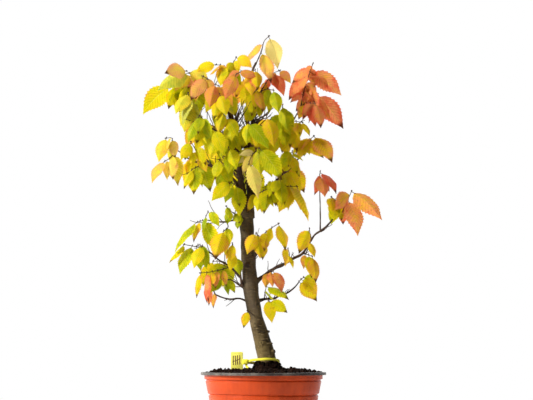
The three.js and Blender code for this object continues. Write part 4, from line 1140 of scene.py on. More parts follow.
# The first part of a limb, wider at its root, so that it grows out of the trunk's skin.
def addCollar(name, limb, vertices, faces):
    c = trunk["collar"]
    length = lengthOf(limb[0])
    reach = c["length"] * (c["leaderTimes"] if "Leader" in name else 1)
    share = min(1, reach / length)
    points = evenPoints(limb[0], c["rings"])[:max(4, round(c["rings"] * share))]

    def collarRadius(part, _angle, _point):
        away = max(0, part * share * length - c["straight"])
        flare = c["flare"] * limb[1] * c["flareShare"] * math.exp(-away / c["flareReach"])
        return limbRadius(limb, part * share) * (c["wider"] - c["narrows"] * part ** 3) + flare

    tubeShape(points, collarRadius, c["segments"], vertices, faces)


def addStub(at, toward, radius, vertices, faces):
    s = trunk["stub"]
    points = evenPoints([at, Vector(at) + Vector(toward) * s["reach"]], s["rings"])

    def stubRadius(share, _angle, _point):
        return radius * (s["wider"] - s["narrows"] * share)

    tubeShape(points, stubRadius, s["segments"], vertices, faces)


# The trunk, the limbs' roots and the stubs, made one skin and given the bark's relief.
def makeWood():
    vertices, faces = [], []
    tubeShape(evenPoints(trunk["line"], trunk["rings"]), trunkRadius, trunk["segments"], vertices, faces)
    for name, limb in limbs.items():
        addCollar(name, limb, vertices, faces)
    for stub in stubs:
        addStub(*stub, vertices, faces)
    thing = objectOf("barkedTrunk", vertices, [tuple(reversed(face)) for face in faces])
    skin = thing.modifiers.new("skin", "REMESH")
    skin.mode = "VOXEL"
    skin.voxel_size = trunk["voxel"] * mm
    smooth = thing.modifiers.new("smooth", "SMOOTH")
    smooth.factor = trunk["smoothingFactor"]
    smooth.iterations = trunk["smoothing"]
    settle(thing)
    mesh = thing.data
    normals = [vertex.normal.copy() for vertex in mesh.vertices]
    for vertex, normal in zip(mesh.vertices, normals):
        vertex.co += normal * barkRelief(vertex.co / mm) * mm
    mesh.polygons.foreach_set("use_smooth", [True] * len(mesh.polygons))
    markLimbs(mesh)
    return thing


# How far each point of the wood stands out from the trunk, 0 on it and 1 on a limb.
def markLimbs(mesh):
    line = evenPoints(trunk["line"], trunk["rings"])
    middles = kdtree.KDTree(len(line))
    for index, point in enumerate(line):
        middles.insert(point, index)
    middles.balance()
    values = []
    for vertex in mesh.vertices:
        _, index, away = middles.find(vertex.co / mm)
        outside = away - trunk["limbFrom"] * mix(trunk["radii"], index / trunk["rings"])
        values += [min(1, max(0, outside / trunk["limbFade"])), 0, 0]
    mesh.attributes.new("limbward", "FLOAT_VECTOR", "POINT").data.foreach_set("vector", values)


# Lumps, bands across the trunk and flutes along it, and on its front the scars, each a pit with a lip.
def barkRelief(point):
    t = trunk
    relief = noise.noise(point * t["lumpScale"]) * t["lump"]
    relief += noise.fractal(point * Vector(t["bandScale"]), *t["bandNoise"]) * t["band"]
    relief += noise.noise(point * Vector(t["fluteScale"])) * t["flute"]
    if point.y >= 0:
        return relief
    lip, pit = t["scarLip"], t["scarPit"]
    for x, height, radius in scars:
        away = math.hypot(point.x - x, point.z - height)
        if away < radius * 3:
            relief += lip["height"] * math.exp(-(((away - radius) / (radius * lip["width"])) ** 2))
            relief -= pit["depth"] * math.exp(-((away / (radius * pit["width"])) ** 2))
    return relief


helperNames = ("thick", "leafLength", "budLength", "axis", "facing", "bulge", "bend", "leafTone", "blank")


def removeHelpers(mesh, kept=()):
    for label in [a.name for a in mesh.attributes if a.name in helperNames and a.name not in kept]:
        mesh.attributes.remove(mesh.attributes[label])


# A wire mesh that the tubes grow from: each wire is a list of points with a radius at each.
# A leaf is one loose point with its pose, and a bud one with only a direction and a size.
def wireObject(name, wires, leaves=(), buds=()):
    points, thick, edges = [], [], []
    for wire, radii in wires:
        edges += [(len(points) + i, len(points) + i + 1) for i in range(len(wire) - 1)]
        points += wire
        thick += [radius * mm for radius in radii]
    loose = [pose["root"] for pose in leaves] + [root for root, _, _ in buds]
    mesh = bpy.data.meshes.new(name)
    mesh.from_pydata([Vector(point) * mm for point in points + loose], edges, [])

    def keep(label, nothing, onWires=None, onLeaves=None, onBuds=None):
        values = []
        for group, found in ((points, onWires), (leaves, onLeaves), (buds, onBuds)):
            values += found or [nothing] * len(group)
        if nothing == 0:
            mesh.attributes.new(label, "FLOAT", "POINT").data.foreach_set("value", values)
        else:
            flat = [number for value in values for number in value]
            mesh.attributes.new(label, "FLOAT_VECTOR", "POINT").data.foreach_set("vector", flat)

    keep("thick", 0.0, onWires=thick)
    keep("leafLength", 0.0, onLeaves=[pose["length"] * mm for pose in leaves])
    keep("budLength", 0.0, onBuds=[length * mm for _, _, length in buds])
    for label in ("axis", "facing", "bulge", "bend", "leafTone"):
        toward = [tuple(direction) for _, direction, _ in buds] if label == "axis" else None
        keep(label, (0, 0, 0), onLeaves=[tuple(pose[label]) for pose in leaves], onBuds=toward)
    return link(bpy.data.objects.new(name, mesh))


# Round tubes along the wires, a little knobbly, and buds on the loose points that have a bud's length.
def wiresToTubes(tree, wires, sides, twig):
    t = twiglets
    curve = addNode(tree, "GeometryNodeMeshToCurve", {"Mesh": wires}).outputs[0]
    ring = addNode(tree, "GeometryNodeCurvePrimitiveCircle", {"Resolution": sides, "Radius": 1.0})
    thick = named(tree, "thick")
    feeds = {"Curve": curve, "Profile Curve": ring.outputs[0], "Scale": thick, "Fill Caps": True}
    tubes = addNode(tree, "GeometryNodeCurveToMesh", feeds).outputs[0]
    position = addNode(tree, "GeometryNodeInputPosition").outputs[0]
    normal = addNode(tree, "GeometryNodeInputNormal").outputs[0]
    knobs = speckle(tree, position, scale=t["knobScale"], detail=3, roughness=0.6)
    knobSize = times(tree, named(tree, "thick"), t["knob"])
    push = scaled(tree, normal, times(tree, calc(tree, "SUBTRACT", knobs, 0.5), knobSize))
    knobbly = addNode(tree, "GeometryNodeSetPosition", {"Geometry": tubes, "Offset": push}).outputs[0]
    feeds = {"Segments": t["budSegments"], "Rings": t["budRings"], "Radius": 1.0}
    bud = addNode(tree, "GeometryNodeMeshUVSphere", feeds).outputs[0]
    budLength = named(tree, "budLength")
    spread = copies(tree, wires, bud)
    put(tree, spread.inputs["Selection"], calc(tree, "GREATER_THAN", budLength, 0.0))
    feeds = {"Vector": named(tree, "axis", "FLOAT_VECTOR")}
    turn = addNode(tree, "FunctionNodeAlignRotationToVector", feeds, axis="Z")
    put(tree, spread.inputs["Rotation"], turn.outputs[0])
    put(tree, spread.inputs["Scale"], scaled(tree, t["budHalfSize"], budLength))
    return covered(tree, joined(tree, knobbly, realized(tree, spread.outputs[0])), twig)


def makeLimbTree():
    tree, given, out = newTree(
        "limbsAndTwiglets",
        Wood=("NodeSocketObject", None),
        Sides=("NodeSocketInt", 10),
        Bark=("NodeSocketMaterial", None),
        Twig=("NodeSocketMaterial", None),
    )
    tubes = wiresToTubes(tree, given["Geometry"], given["Sides"], given["Twig"])
    barked = covered(tree, shapeOf(tree, given["Wood"]), given["Bark"])
    put(tree, out, realized(tree, joined(tree, barked, tubes)))
    return tree


def unitVector(draw):
    return Vector((draw.gauss(0, 1), draw.gauss(0, 1), draw.gauss(0, 1))).normalized()


# A bare side twig: it leaves its limb at a slant, rises, and bends a little at each bud.
def bareTwig(draw, limbPoints, at, length, radius):
    t = twiglets
    along = (limbPoints[at + 1] - limbPoints[at]).normalized()
    side = unitVector(draw)
    side = (side - along * side.dot(along)).normalized()
    heading = (along * t["alongLimb"] + side * t["sideways"] + Vector((0, 0, t["upwards"]))).normalized()
    steps = max(3, round(length / t["joint"]))
    wire, buds = [limbPoints[at].copy()], []
    for step in range(steps):
        heading = (heading + unitVector(draw) * t["zigzag"] + Vector((0, 0, t["rise"]))).normalized()
        wire.append(wire[-1] + heading * length / steps)
        if step > 0:
            buds.append((wire[-1], heading, t["bud"]))
    radii = [radius + (t["tip"] - radius) * i / steps for i in range(steps + 1)]
    return (wire, radii), buds


def inBox(point):
    low, high = cadBox
    return all(low[i] / mm <= point[i] <= high[i] / mm for i in range(3))


# The limb's own wire: its radius swells at knots and wobbles a little.
def limbWire(limb, steps):
    swell, swellScale = trunk["swelling"]
    wobble, wobbleScale = trunk["wobble"]
    points = evenPoints(limb[0], steps)
    radii = []
    for step, point in enumerate(points):
        knot = swell * max(0, noise.noise(point * swellScale)) + wobble * noise.noise(point * wobbleScale)
        radii.append(limbRadius(limb, step / steps) * (1 + knot))
    return points, radii


def makeTrunk():
    t = twiglets
    draw = random.Random(t["seed"])
    wires, buds = [], []
    for name, limb in limbs.items():
        length = lengthOf(limb[0])
        steps = round(length / trunk["wirePiece"])
        points, radii = limbWire(limb, steps)
        wires.append((points, radii))
        for twig in range(int(length * (1 - t["from"]) / t["spacing"])):
            share = t["from"] + (1 - t["from"]) * (twig + draw.random()) * t["spacing"] / length
            step = min(steps - 1, int(share * steps))
            size = draw.uniform(t["shortest"], t["longest"]) * t["shorter"].get(name, 1)
            radius = min(t["radius"], radii[step] * t["rootShare"])
            wire, twigBuds = bareTwig(draw, points, step, size, radius)
            if all(inBox(point) for point in wire[0]):
                wires.append(wire)
                buds += twigBuds
        for _ in range(t["inner"] if "Leader" in name else 0):
            step = draw.randrange(steps // t["innerFrom"], round(steps * t["innerTo"]))
            size = draw.uniform(t["innerShortest"], t["innerLongest"])
            radius = min(t["innerRadius"], radii[step] * t["rootShare"])
            wire, twigBuds = bareTwig(draw, points, step, size, radius)
            wires.append(wire)
            buds += twigBuds
    thing = wireObject("barkAndLimbs", wires, buds=buds)
    wood = makeWood()
    grow(thing, makeLimbTree(), Wood=wood, Sides=trunk["wireSides"], Bark=bark, Twig=twigBark)
    settle(thing)
    bpy.data.objects.remove(wood)
    removeHelpers(thing.data)
    finished(thing, "bark", "trunk")


bark = makeBarkMaterial()
twigBark = makeTwigMaterial()
makeTrunk()


# Leafy stems. Each row: the spray it belongs to, its line, how many leaves, their length in mm, their tone
# from 0 green to 1 crimson, how far each hangs from straight down in degrees, + to the right, and the share
# of the stem's length where the first leaf stands. Lengths and tones run from the first leaf to the last.
stems = [
    ("top_tip", [[-10, 5, 552], [-3, 3, 568], [1, 1, 582], [8, 0, 589]],
     4, [16, 41, 36, 44], [0.55, 0.6, 0.62, 0.45], [10, 14, -30, 20], 0.1),
    ("top_arch", [[-45, -6, 532], [-43, -10, 546], [-37, -14, 558]],
     4, [24, 20, 22, 27], [0.2, 0.1, 0.3, 0.5], [38, 20, -25, 56], 0.25),
    ("top_arch", [[-44, -8, 539], [-55, -15, 546], [-65, -18, 547]],
     4, [36, 36, 26, 30], [0.25, 0.3, 0.65, 0.42], [4, -6, -30, -50], 0.3),
    ("top_front", [[-15, 7, 527], [-16, -16, 536], [-11, -44, 537]],
     4, [34, 38, 30, 28], [0.3, 0.5, 0.72, 0.45], [-10, -4, 22, 12], 0.25),
    ("top_front", [[-16, -14, 535], [-27, -34, 537], [-37, -54, 529]],
     3, [32, 20, 41], [0.7, 0.75, 0.76], [10, -72, -22], 0.35),
    ("top_brown", [[-48, -8, 497], [-58, -26, 514], [-65, -42, 518]],
     4, [36, 36, 34, 34], [0.15, 0.3, 0.6, 0.72], [12, -14, 10, -12], 0.25),
    ("top_back", [[-14, 8, 516], [-24, 36, 533], [-32, 62, 530]],
     5, [34, 40], [0.35, 0.7], [-25, 25], 0.25),
    ("top_red", [[-13, 8, 500], [0, 12, 520], [11, 12, 537], [23, 10, 543]],
     5, [32, 34, 18, 34, 24], [0.4, 0.62, 0.9, 0.97, 0.7], [-10, 6, -26, 30, 44], 0.35),
    ("centre_high", [[-13, 8, 493], [-14, -18, 507], [-9, -44, 510]],
     4, [34, 32, 36, 30], [0.2, 0.15, 0.25, 0.6], [-18, 14, -4, 18], 0.2),
    ("centre_high", [[-14, -12, 504], [2, -28, 512], [14, -46, 509]],
     3, [34, 36, 34], [0.15, 0.2, 0.12], [-14, 4, 16], 0.35),
    ("crest_high", [[-88, -12, 528], [-97, -13, 533], [-105, -14, 539]],
     4, [20, 30, 52, 46], [1, 0.5, 0.12, 0.62], [25, -47, -56, -36], 0.3),
    ("crest_high", [[-92, -12.5, 530], [-84, -26, 531], [-75, -36, 525]],
     3, [34, 34, 36], [0.5, 0.55, 0.68], [-8, -18, -38], 0.35),
    ("crest_low", [[-80, -12, 524], [-97, -3, 527], [-116, 2, 523], [-129, 4, 518]],
     5, [46, 50, 42, 38, 52], [0.1, 0.25, 0.18, 0.25, 0.36], [-8, -16, -18, -24, -45], 0.2),
    ("left_upper", [[-95, -17, 486], [-100, -20, 498], [-102, -26, 508]],
     4, [42, 40, 46, 38], [0.12, 0.24, 0.08, 0.3], [12, -16, -6, -20], 0.15),
    ("left_green", [[-78, -18, 465], [-82, -34, 471], [-86, -46, 475]],
     4, [34, 36, 34, 40], [0.15, 0.2, 0.1, 0.03], [14, -10, 22, -24], 0.2),
    ("left_olive", [[-56, -12, 490], [-56, -32, 496], [-59, -48, 504]],
     4, [34, 32], [0.15, 0.35], [-14, 14], 0.2),
    ("left_back", [[-52, -12, 450], [-70, 18, 467], [-89, 48, 478]],
     5, [36, 42], [0.2, 0.5], [-28, 12], 0.25),
    ("far_left", [[-113, -14, 428], [-124, -14, 436], [-124, -15, 447], [-133, -16, 447]],
     3, [24, 29, 36], [0.25, 0.5, 0.48], [12, 2, -19], 0.4),
    ("far_left", [[-119, -14, 431.5], [-125, -22, 421], [-134, -28, 414]],
     3, [44, 34, 34], [0.38, 0.4, 0.62], [9, -8, -30], 0.3),
    ("left_mid", [[-84, -13, 412], [-88, -28, 408], [-97, -38, 402]],
     4, [38, 34, 38, 28], [0.1, 0.15, 0.12, 0.3], [20, -6, 12, -20], 0.25),
    ("left_mid", [[-87, -25, 409.5], [-91, -32, 428], [-98, -42, 440]],
     3, [27, 28, 28], [0.45, 0.25, 0.3], [32, 38, -28], 0.4),
    ("left_mid_back", [[-70, -12, 409], [-81, 14, 421], [-97, 40, 426]],
     5, [34, 38], [0.2, 0.45], [-25, 14], 0.3),
    ("left_inner", [[-43, -7, 394], [-51, -26, 407], [-60, -42, 416]],
     4, [30, 28, 28, 27], [0.1, 0.05, 0.15, 0.2], [10, -25, 20, -12], 0.25),
    ("left_under", [[-31, -2, 378], [-37, -18, 382], [-44, -32, 386]],
     4, [42, 30, 28, 38], [0.25, 0.15, 0.1, 0.3], [4, -6, -24, -48], 0.25),
    ("left_tuft", [[-28, -1, 339], [-41, -5, 346], [-51, -8, 355]],
     4, [24, 22, 20, 18], [0, 0.2], [-16, 18], 0.25),
    ("wing", [[-75, -6, 336], [-84, -8, 335], [-90, -9, 333]],
     3, [46, 30, 52], [0.15, 0.5, 0.12], [24, -12, -31], 0.5),
    ("wing", [[-79, -7, 336], [-78, -12, 341], [-75, -18, 347]],
     2, [20, 26], [0.05, 0.12], [-12, 36], 0.4),
    ("wing_drop", [[-50, -4, 334], [-48, -16, 326], [-54, -28, 320]],
     4, [26, 24, 34, 42], [0.1, 0.08, 0.3, 0.45], [24, 15, -2, -12], 0.25),
    ("low_left_gold", [[-37, -14, 282], [-39, -22, 293], [-42, -28, 304]],
     4, [24, 28, 18, 27], [0.1, 0.35, 0.6, 0.4], [8, -15, -34, -8], 0.15),
    ("low_left_end", [[-87, -5, 299], [-97, -7, 301], [-108, -8, 303]],
     4, [32, 46, 20, 34], [0, 0.15, 0.3, 0.35], [12, -24, -10, -28], 0.2),
    ("low_left_end", [[-91, -6, 300], [-88, -16, 302], [-82, -26, 300]],
     3, [30, 34, 34], [0.05, 0, 0.4], [33, 14, -22], 0.4),
    ("low_left_twig", [[-43, -8, 273], [-56, -15, 269], [-73, -19, 265], [-86, -20, 264]],
     5, [24, 28, 26, 42, 34], [0.6, 0.65, 0.55, 0.85, 0.5], [10, -5, 8, 6, -10], 0.3),
    ("low_left_pink", [[-65, 10, 235], [-71, 4, 244], [-78, 0, 250]],
     3, [32, 24, 27], [0.7, 0.8, 0.9], [10, -6, 4], 0.2),
    ("low_left_green", [[-46, 17, 256], [-51, 2, 256], [-56, -12, 256]],
     3, [20, 22, 25], [0.1, 0.05, 0.05], [22, 8, -44], 0.35),
    ("low_left_back", [[-46, -6, 273], [-56, 20, 280], [-70, 44, 282]],
     5, [34, 38], [0.15, 0.4], [-24, 14], 0.3),
    ("centre_green", [[-20, 8, 459], [-20, -38, 467], [-20, -70, 462]],
     4, [36, 34, 30, 44], [0.15, 0.1, 0.2, 0.06], [-16, 12, -8, 34], 0.4),
    ("centre_long", [[-18, 7, 432], [-12, -32, 436], [-5, -58, 429]],
     4, [38, 42, 44, 54], [0.2, 0.18, 0.22, 0.14], [-6, 24, 10, 36], 0.35),
    ("centre_pale", [[-22, 5, 407], [-10, -46, 426], [-16, -70, 418], [-20, -80, 406]],
     4, [25, 20, 29, 49], [0.48, 0.5, 0.46, 0.42], [-66, -82, -40, 14], 0.42),
    ("centre_left", [[-38, -8, 445], [-47, -28, 462], [-53, -48, 480]],
     5, [36, 36, 34, 32, 30], [0.15, 0.35], [-16, 22], 0.25),
    ("centre_left", [[-43, -18, 453], [-55, -36, 452], [-67, -54, 455]],
     4, [38, 34], [0.1, 0.3], [-18, 14], 0.3),
    ("centre_under", [[-35, -5, 414], [-43, -28, 421], [-47, -46, 432]],
     4, [30, 30], [0.05, 0.25], [-20, 18], 0.25),
    ("centre_back", [[-22, 5, 384], [-18, 42, 402], [-24, 76, 418]],
     5, [36, 42], [0.1, 0.35], [-28, 28], 0.35),
    ("back_left", [[-33, -4, 407], [-46, 36, 429], [-62, 70, 446]],
     5, [36, 42], [0.15, 0.45], [-26, 22], 0.35),
    ("back_right", [[-18, 8, 452], [-2, 44, 470], [12, 74, 484]],
     5, [36, 42], [0.2, 0.6], [-22, 26], 0.35),
    ("shoot", [[46, -4, 482], [50, -3, 488], [56, 0, 516], [63, 2, 538], [68, 3, 552]],
     5, [22, 40, 37, 55, 29], [0.9, 0.76, 0.8, 0.8, 0.76], [-30, 10, -44, 54, -22], 0.39),
    ("shoot", [[49.5, -3, 487.5], [58, 8, 499], [75, 16, 511]],
     3, [22, 38, 55], [0.55, 0.78, 0.86], [-18, 46, 38], 0.45),
    ("shoot", [[52, 1, 490.5], [60, -12, 495], [70, -22, 494]],
     3, [30, 33, 35], [0.65, 0.95, 0.78], [22, 10, 14], 0.45),
    ("right_gold", [[33, -2, 458], [40, -20, 469], [53, -32, 467]],
     4, [42, 34, 26, 22], [0.35, 0.3, 0.5, 0.42], [-8, -2, 12, 26], 0.2),
    ("right_olive", [[24, -1, 444], [24, -28, 470], [26, -46, 490]],
     4, [36, 34], [0.2, 0.12], [-16, 10], 0.3),
    ("right_front", [[-7, 4, 412], [-2, -40, 451], [5, -64, 474]],
     4, [38, 36, 34, 42], [0.2, 0.3, 0.35, 0.45], [-16, 16, -10, 14], 0.35),
    ("right_fan", [[54, 0, 433], [61, -4, 444], [69, -6, 451]],
     4, [16, 31, 38, 51], [0.3, 0.4, 0.42, 0.58], [-10, 50, 26, 41], 0.15),
    ("right_fringe", [[36, 4, 410], [40, -12, 422], [39, -24, 429]],
     3, [26, 24, 29], [0.3, 0.35, 0.2], [24, 6, -34], 0.35),
    ("right_yellow", [[13, 7, 387], [28, 0, 383], [46, -6, 382]],
     4, [30, 36, 40, 56], [0.2, 0.4, 0.42, 0.4], [-6, 6, 10, 24], 0.3),
    ("right_green", [[-2, 7, 379], [9, -16, 386], [24, -34, 390]],
     5, [32, 36], [0.15, 0.2], [-12, 16], 0.3),
    ("right_under", [[-16, 5, 371], [-5, -16, 373], [7, -30, 378]],
     4, [28, 34], [0.35, 0.22], [-22, 10], 0.3),
    ("right_back", [[25, 6, 399], [33, 36, 407], [39, 64, 418]],
     5, [36, 40], [0.3, 0.6], [-14, 26], 0.3),
    ("outer_shoot", [[77, -11, 322], [77, -11, 351], [76, -12, 390], [77, -22, 402]],
     3, [15, 36, 38], [0.9, 0.78, 0.98], [14, -12, 33], 0.84),
    ("outer_tip", [[107, -8, 348], [112, -8, 358], [120, -8, 376]],
     3, [14, 50, 58], [0.9, 0.76, 0.72], [-20, 15, 44], 0.15),
    ("outer_tip", [[110, -8, 353], [101, -5, 361], [92, -2, 368]],
     3, [30, 33, 28], [0.2, 0.3, 0.48], [4, -10, 10], 0.45),
    ("right_low_pair", [[52, -12, 290], [59, -18, 289], [66, -24, 286]],
     3, [20, 32, 38], [0.65, 0.3, 0.55], [-10, 4, 10], 0.3),
    ("right_low_pair", [[57, -17, 289], [63, -24, 306], [62, -28, 324]],
     2, [22, 38], [0.5, 0.45], [16, -14], 0.5),
    ("right_low_mid", [[32, -10, 279], [35, -17, 289], [33, -23, 297]],
     2, [20, 31], [0.4, 0.5], [14, -20], 0.5),
    ("mid_cluster", [[-5, -16, 305], [3, -20, 319], [21, -22, 331]],
     4, [32, 34, 24, 38], [0.4, 0.45, 0.38, 0.42], [-2, -5, -14, 14], 0.2),
    ("mid_cluster", [[-3, -17, 310], [-9, -28, 316], [-10, -38, 317]],
     3, [32, 34, 30], [0.5, 0.45, 0.52], [6, -2, -21], 0.3),
    ("low_right_red", [[3, -5, 262], [9, -14, 267], [13, -22, 266]],
     3, [22, 24, 31], [0.65, 0.72, 0.8], [-8, 6, 20], 0.3),
    ("low_right_green", [[1, 6, 229], [2, -7, 238], [4, -16, 246]],
     2, [24, 40], [0.12, 0.08], [20, 46], 0.5),
    ("low_right_green", [[2, -5, 236], [5, -14, 229], [8, -22, 225]],
     3, [20, 30, 28], [0.15, 0.4, 0.25], [60, 8, 58], 0.35),
    ("low_right_end", [[47, 17, 251], [51, 14, 256], [55, 12, 259]],
     3, [34, 30, 36], [0.42, 0.45, 0.15], [42, 22, 34], 0.2),
    ("low_trunk", [[-9, -4, 203], [-17, -14, 210], [-22, -20, 213]],
     1, [22], [0.42], [-12], 0.75),
]

# How a leaf hangs. Angles are in degrees, and what varies is the whole spread about the middle value.
leafStance = {
    "lastPlace": 0.96,
    "lengthVaries": 0.08,
    "leanVaries": 8,
    "outward": 14,
    "outwardVaries": 22,
    "crownMiddle": -25,
    "turnShare": 0.4,
    "turnVaries": 46,
    "arch": 0.18,
    "archVaries": 0.16,
    "fold": 0.275,
    "foldVaries": 0.5,
    "widthShare": 0.27,
    "widthVaries": 0.2,
    "petiole": 0.07,
    "upwardPull": 1.5,
    "tries": 14,
    "wander": 14,
    "wanderPerTry": 5,
    "tipMatch": 0.08,
}

# Sizes in mm, shares of the blade's length or width, and colours.
leaf = {
    "teeth": 11,
    "toothPlace": 0.8,
    "toothOut": 1.06,
    "notch": 0.91,
    "slant": 0.14,
    "slantMiddle": 0.4,
    "columns": (-1, -0.55, 0, 0.55, 1),
    "blankSize": (0.01, 0.04),
    "ends": (0.004, 0.995),
    "broadest": 0.8,
    "fullness": 0.75,
    "taper": (0.5, 4),
    "tail": (0.35, 6),
    "thickness": 0.32,
    "rib": 0.35,
    "ribLift": 0.4,
    "sickle": 9.0,
    "sickleSize": 0.008,
    "wave": 0.02,
    "waves": 11.0,
    "waveSlant": 1.6,
    "waveShift": 40.0,
    "scale": 1.05,
    "stem": {"start": 0.8, "end": 0.42, "least": 0.7, "perLength": 0.008, "piece": 2.5, "sides": 6},
    "stalk": 0.5,
    "stalkPlaces": (0.035, 0.07, 0.13),
    "stalkNarrows": (1, 0.85, 0.7, 0.3),
    "endBud": 2.6,
    "sideBud": 2.2,
    "sideBudAway": (0.2, 0.9),
    "extraSize": 0.8,
    "upperExtra": {"above": 370, "attempt": 3, "after": 0.5, "draw": "upperTone"},
    "rightExtra": {"rightOf": 12, "above": 300, "attempt": 6, "after": -0.3, "draw": "rightTone"},
    "gap": {"left": -62, "right": -18, "top": 505},
    "sparse": ("top_tip", "centre_pale"),
    "dry": ("low_left_twig", "low_left_pink"),
    "curled": {"centre_pale": 0.78, "low_left_twig": 0.62, "low_left_pink": 0.6},
    "autumn": ["#9cb208", "#c4c60a", "#e6d90d", "#f6d61a", "#f2b443", "#f89f6a", "#f0664a"],
    "blotches": 0.75,
    "flecks": 0.55,
    "warmEdge": (0.2, 0.04),
    "ripeTip": (0.16, 0.02),
    "veinSlant": 0.24,
    "veinPlace": 0.73,
    "veinWidth": 0.09,
    "sideVeins": 0.55,
    "veins": 0.5,
    # Dark olive for the painted shade between the side veins, also the darker tone of the random mottling.
    "veinLight": "#e6dc55",
    "paintedShadeAndMottle": "#747008",
    "fadedMost": 0.85,
    "cream": "#fdefae",
    "burntTip": 0.92,
    "tipBrown": "#42170a",
    "spot": "#8a5a24",
    "glow": 0.6,
}

# How far the leaves of these sprays have faded to cream, from the first leaf to the last.
faded = {
    "centre_pale": [0.9, 0.85, 0.4, 0.5],
    "top_tip": [0.1, 0.2, 0.1, 0.75],
    "left_upper": [0.3, 0.1, 0.3, 0.1],
    "crest_high": [0, 0.1, 0.25],
    "far_left": [0.1, 0.35, 0.1],
}

# What is drawn for each leaf, with the number that sets the draws apart, and the steps that mix them.
quantities = {"length": 1, "hang": 2, "outward": 3, "turn": 4, "arch": 5, "fold": 6, "width": 7,
              "tone": 11, "upperTone": 12, "rightTone": 13}
drawSteps = {"stem": 12.9898, "leaf": 78.233, "quantity": 37.719, "attempt": 9.151, "mixing": 43758.5453}


# The same draw every time: a fraction of 1 for a stem, a leaf on it, a quantity and a try.
def fixedDraw(stemIndex, leafIndex, quantity, attempt=0):
    d = drawSteps
    seed = stemIndex * d["stem"] + leafIndex * d["leaf"]
    seed = seed + quantities[quantity] * d["quantity"] + attempt * d["attempt"]
    mixed = math.sin(seed) * d["mixing"]
    return mixed - math.floor(mixed)


def pointOnRuns(runs, share):
    step = share * (len(runs) - 1)
    run = min(int(step), len(runs) - 2)
    return runs[run].lerp(runs[run + 1], step - run)


# Where a leaf's root, rib and faces lie. The axis runs from root to tip, and the rib arches over it.
def leafPose(stem, stemIndex, leafIndex, attempt, after=0.0):
    _, path, leaves, size, _, lean, first = stem
    s = leafStance
    wander = 0 if attempt == 0 else s["wander"] + s["wanderPerTry"] * attempt

    def fixed(quantity):
        return fixedDraw(stemIndex, leafIndex, quantity) - 0.5

    def free(quantity, spread):
        return (spread + wander) * (fixedDraw(stemIndex, leafIndex, quantity, attempt) - 0.5)

    share = (leafIndex + after) / (leaves - 1) if leaves > 1 else 1
    root = pointOnRuns(evenPoints(path, len(path)), first + (s["lastPlace"] - first) * share)
    length = mix(size, share) * (1 + s["lengthVaries"] * fixed("length"))
    mirror = -1 if after else 1
    hang = math.radians(mirror * lean[leafIndex % len(lean)] + free("hang", s["leanVaries"]))
    outward = math.radians(s["outward"] + free("outward", s["outwardVaries"]))
    bearing = math.atan2(root.x - s["crownMiddle"], -root.y)
    behind = abs(bearing) > math.pi / 2
    fromBack = math.copysign(math.pi - s["turnShare"] * (math.pi - abs(bearing)), bearing)
    middleTurn = fromBack if behind else s["turnShare"] * bearing
    turn = middleTurn + math.radians(free("turn", s["turnVaries"]))
    axis = Vector((math.sin(hang) * math.cos(outward), (1 if behind else -1) * math.sin(outward),
                   -math.cos(hang) * math.cos(outward)))
    facing = Vector((math.sin(turn), -math.cos(turn), 0))
    facing = (facing - axis * facing.dot(axis)).normalized()
    upward = Vector((0, 0, 1)) - axis * axis.z
    return {
        "root": root,
        "axis": axis,
        "facing": facing,
        "bulge": (upward * s["upwardPull"] + facing).normalized(),
        "length": length,
        "arch": s["arch"] + s["archVaries"] * fixed("arch"),
        "fold": s["fold"] + s["foldVaries"] * fixed("fold"),
        "halfWidth": length * s["widthShare"] * (1 + s["widthVaries"] * fixed("width")),
        "share": share,
    }


def ribPoint(pose, share):
    arch = pose["bulge"] * (2 * share * (1 - share) * pose["arch"] * pose["length"])
    return pose["root"] + pose["axis"] * share * pose["length"] + arch


# The try that the leaf's place in the frame shows: its tip is a corner of the spray's solid.
def standingPose(stem, stemIndex, leafIndex, corners):
    for attempt in range(leafStance["tries"]):
        pose = leafPose(stem, stemIndex, leafIndex, attempt)
        _, _, distance = corners.find(ribPoint(pose, 1) * mm)
        if distance < leafStance["tipMatch"] * mm:
            return pose
    return None


# Half the blade's width at a share of its length: broadest below the middle, drawn out to the tip.
def bladeWidth(share):
    least, most = leaf["ends"]
    share = min(most, max(least, share))
    width = math.sin(math.pi * share ** leaf["broadest"]) ** leaf["fullness"]
    for amount, power in (leaf["taper"], leaf["tail"]):
        width *= 1 - amount * share ** power
    return width


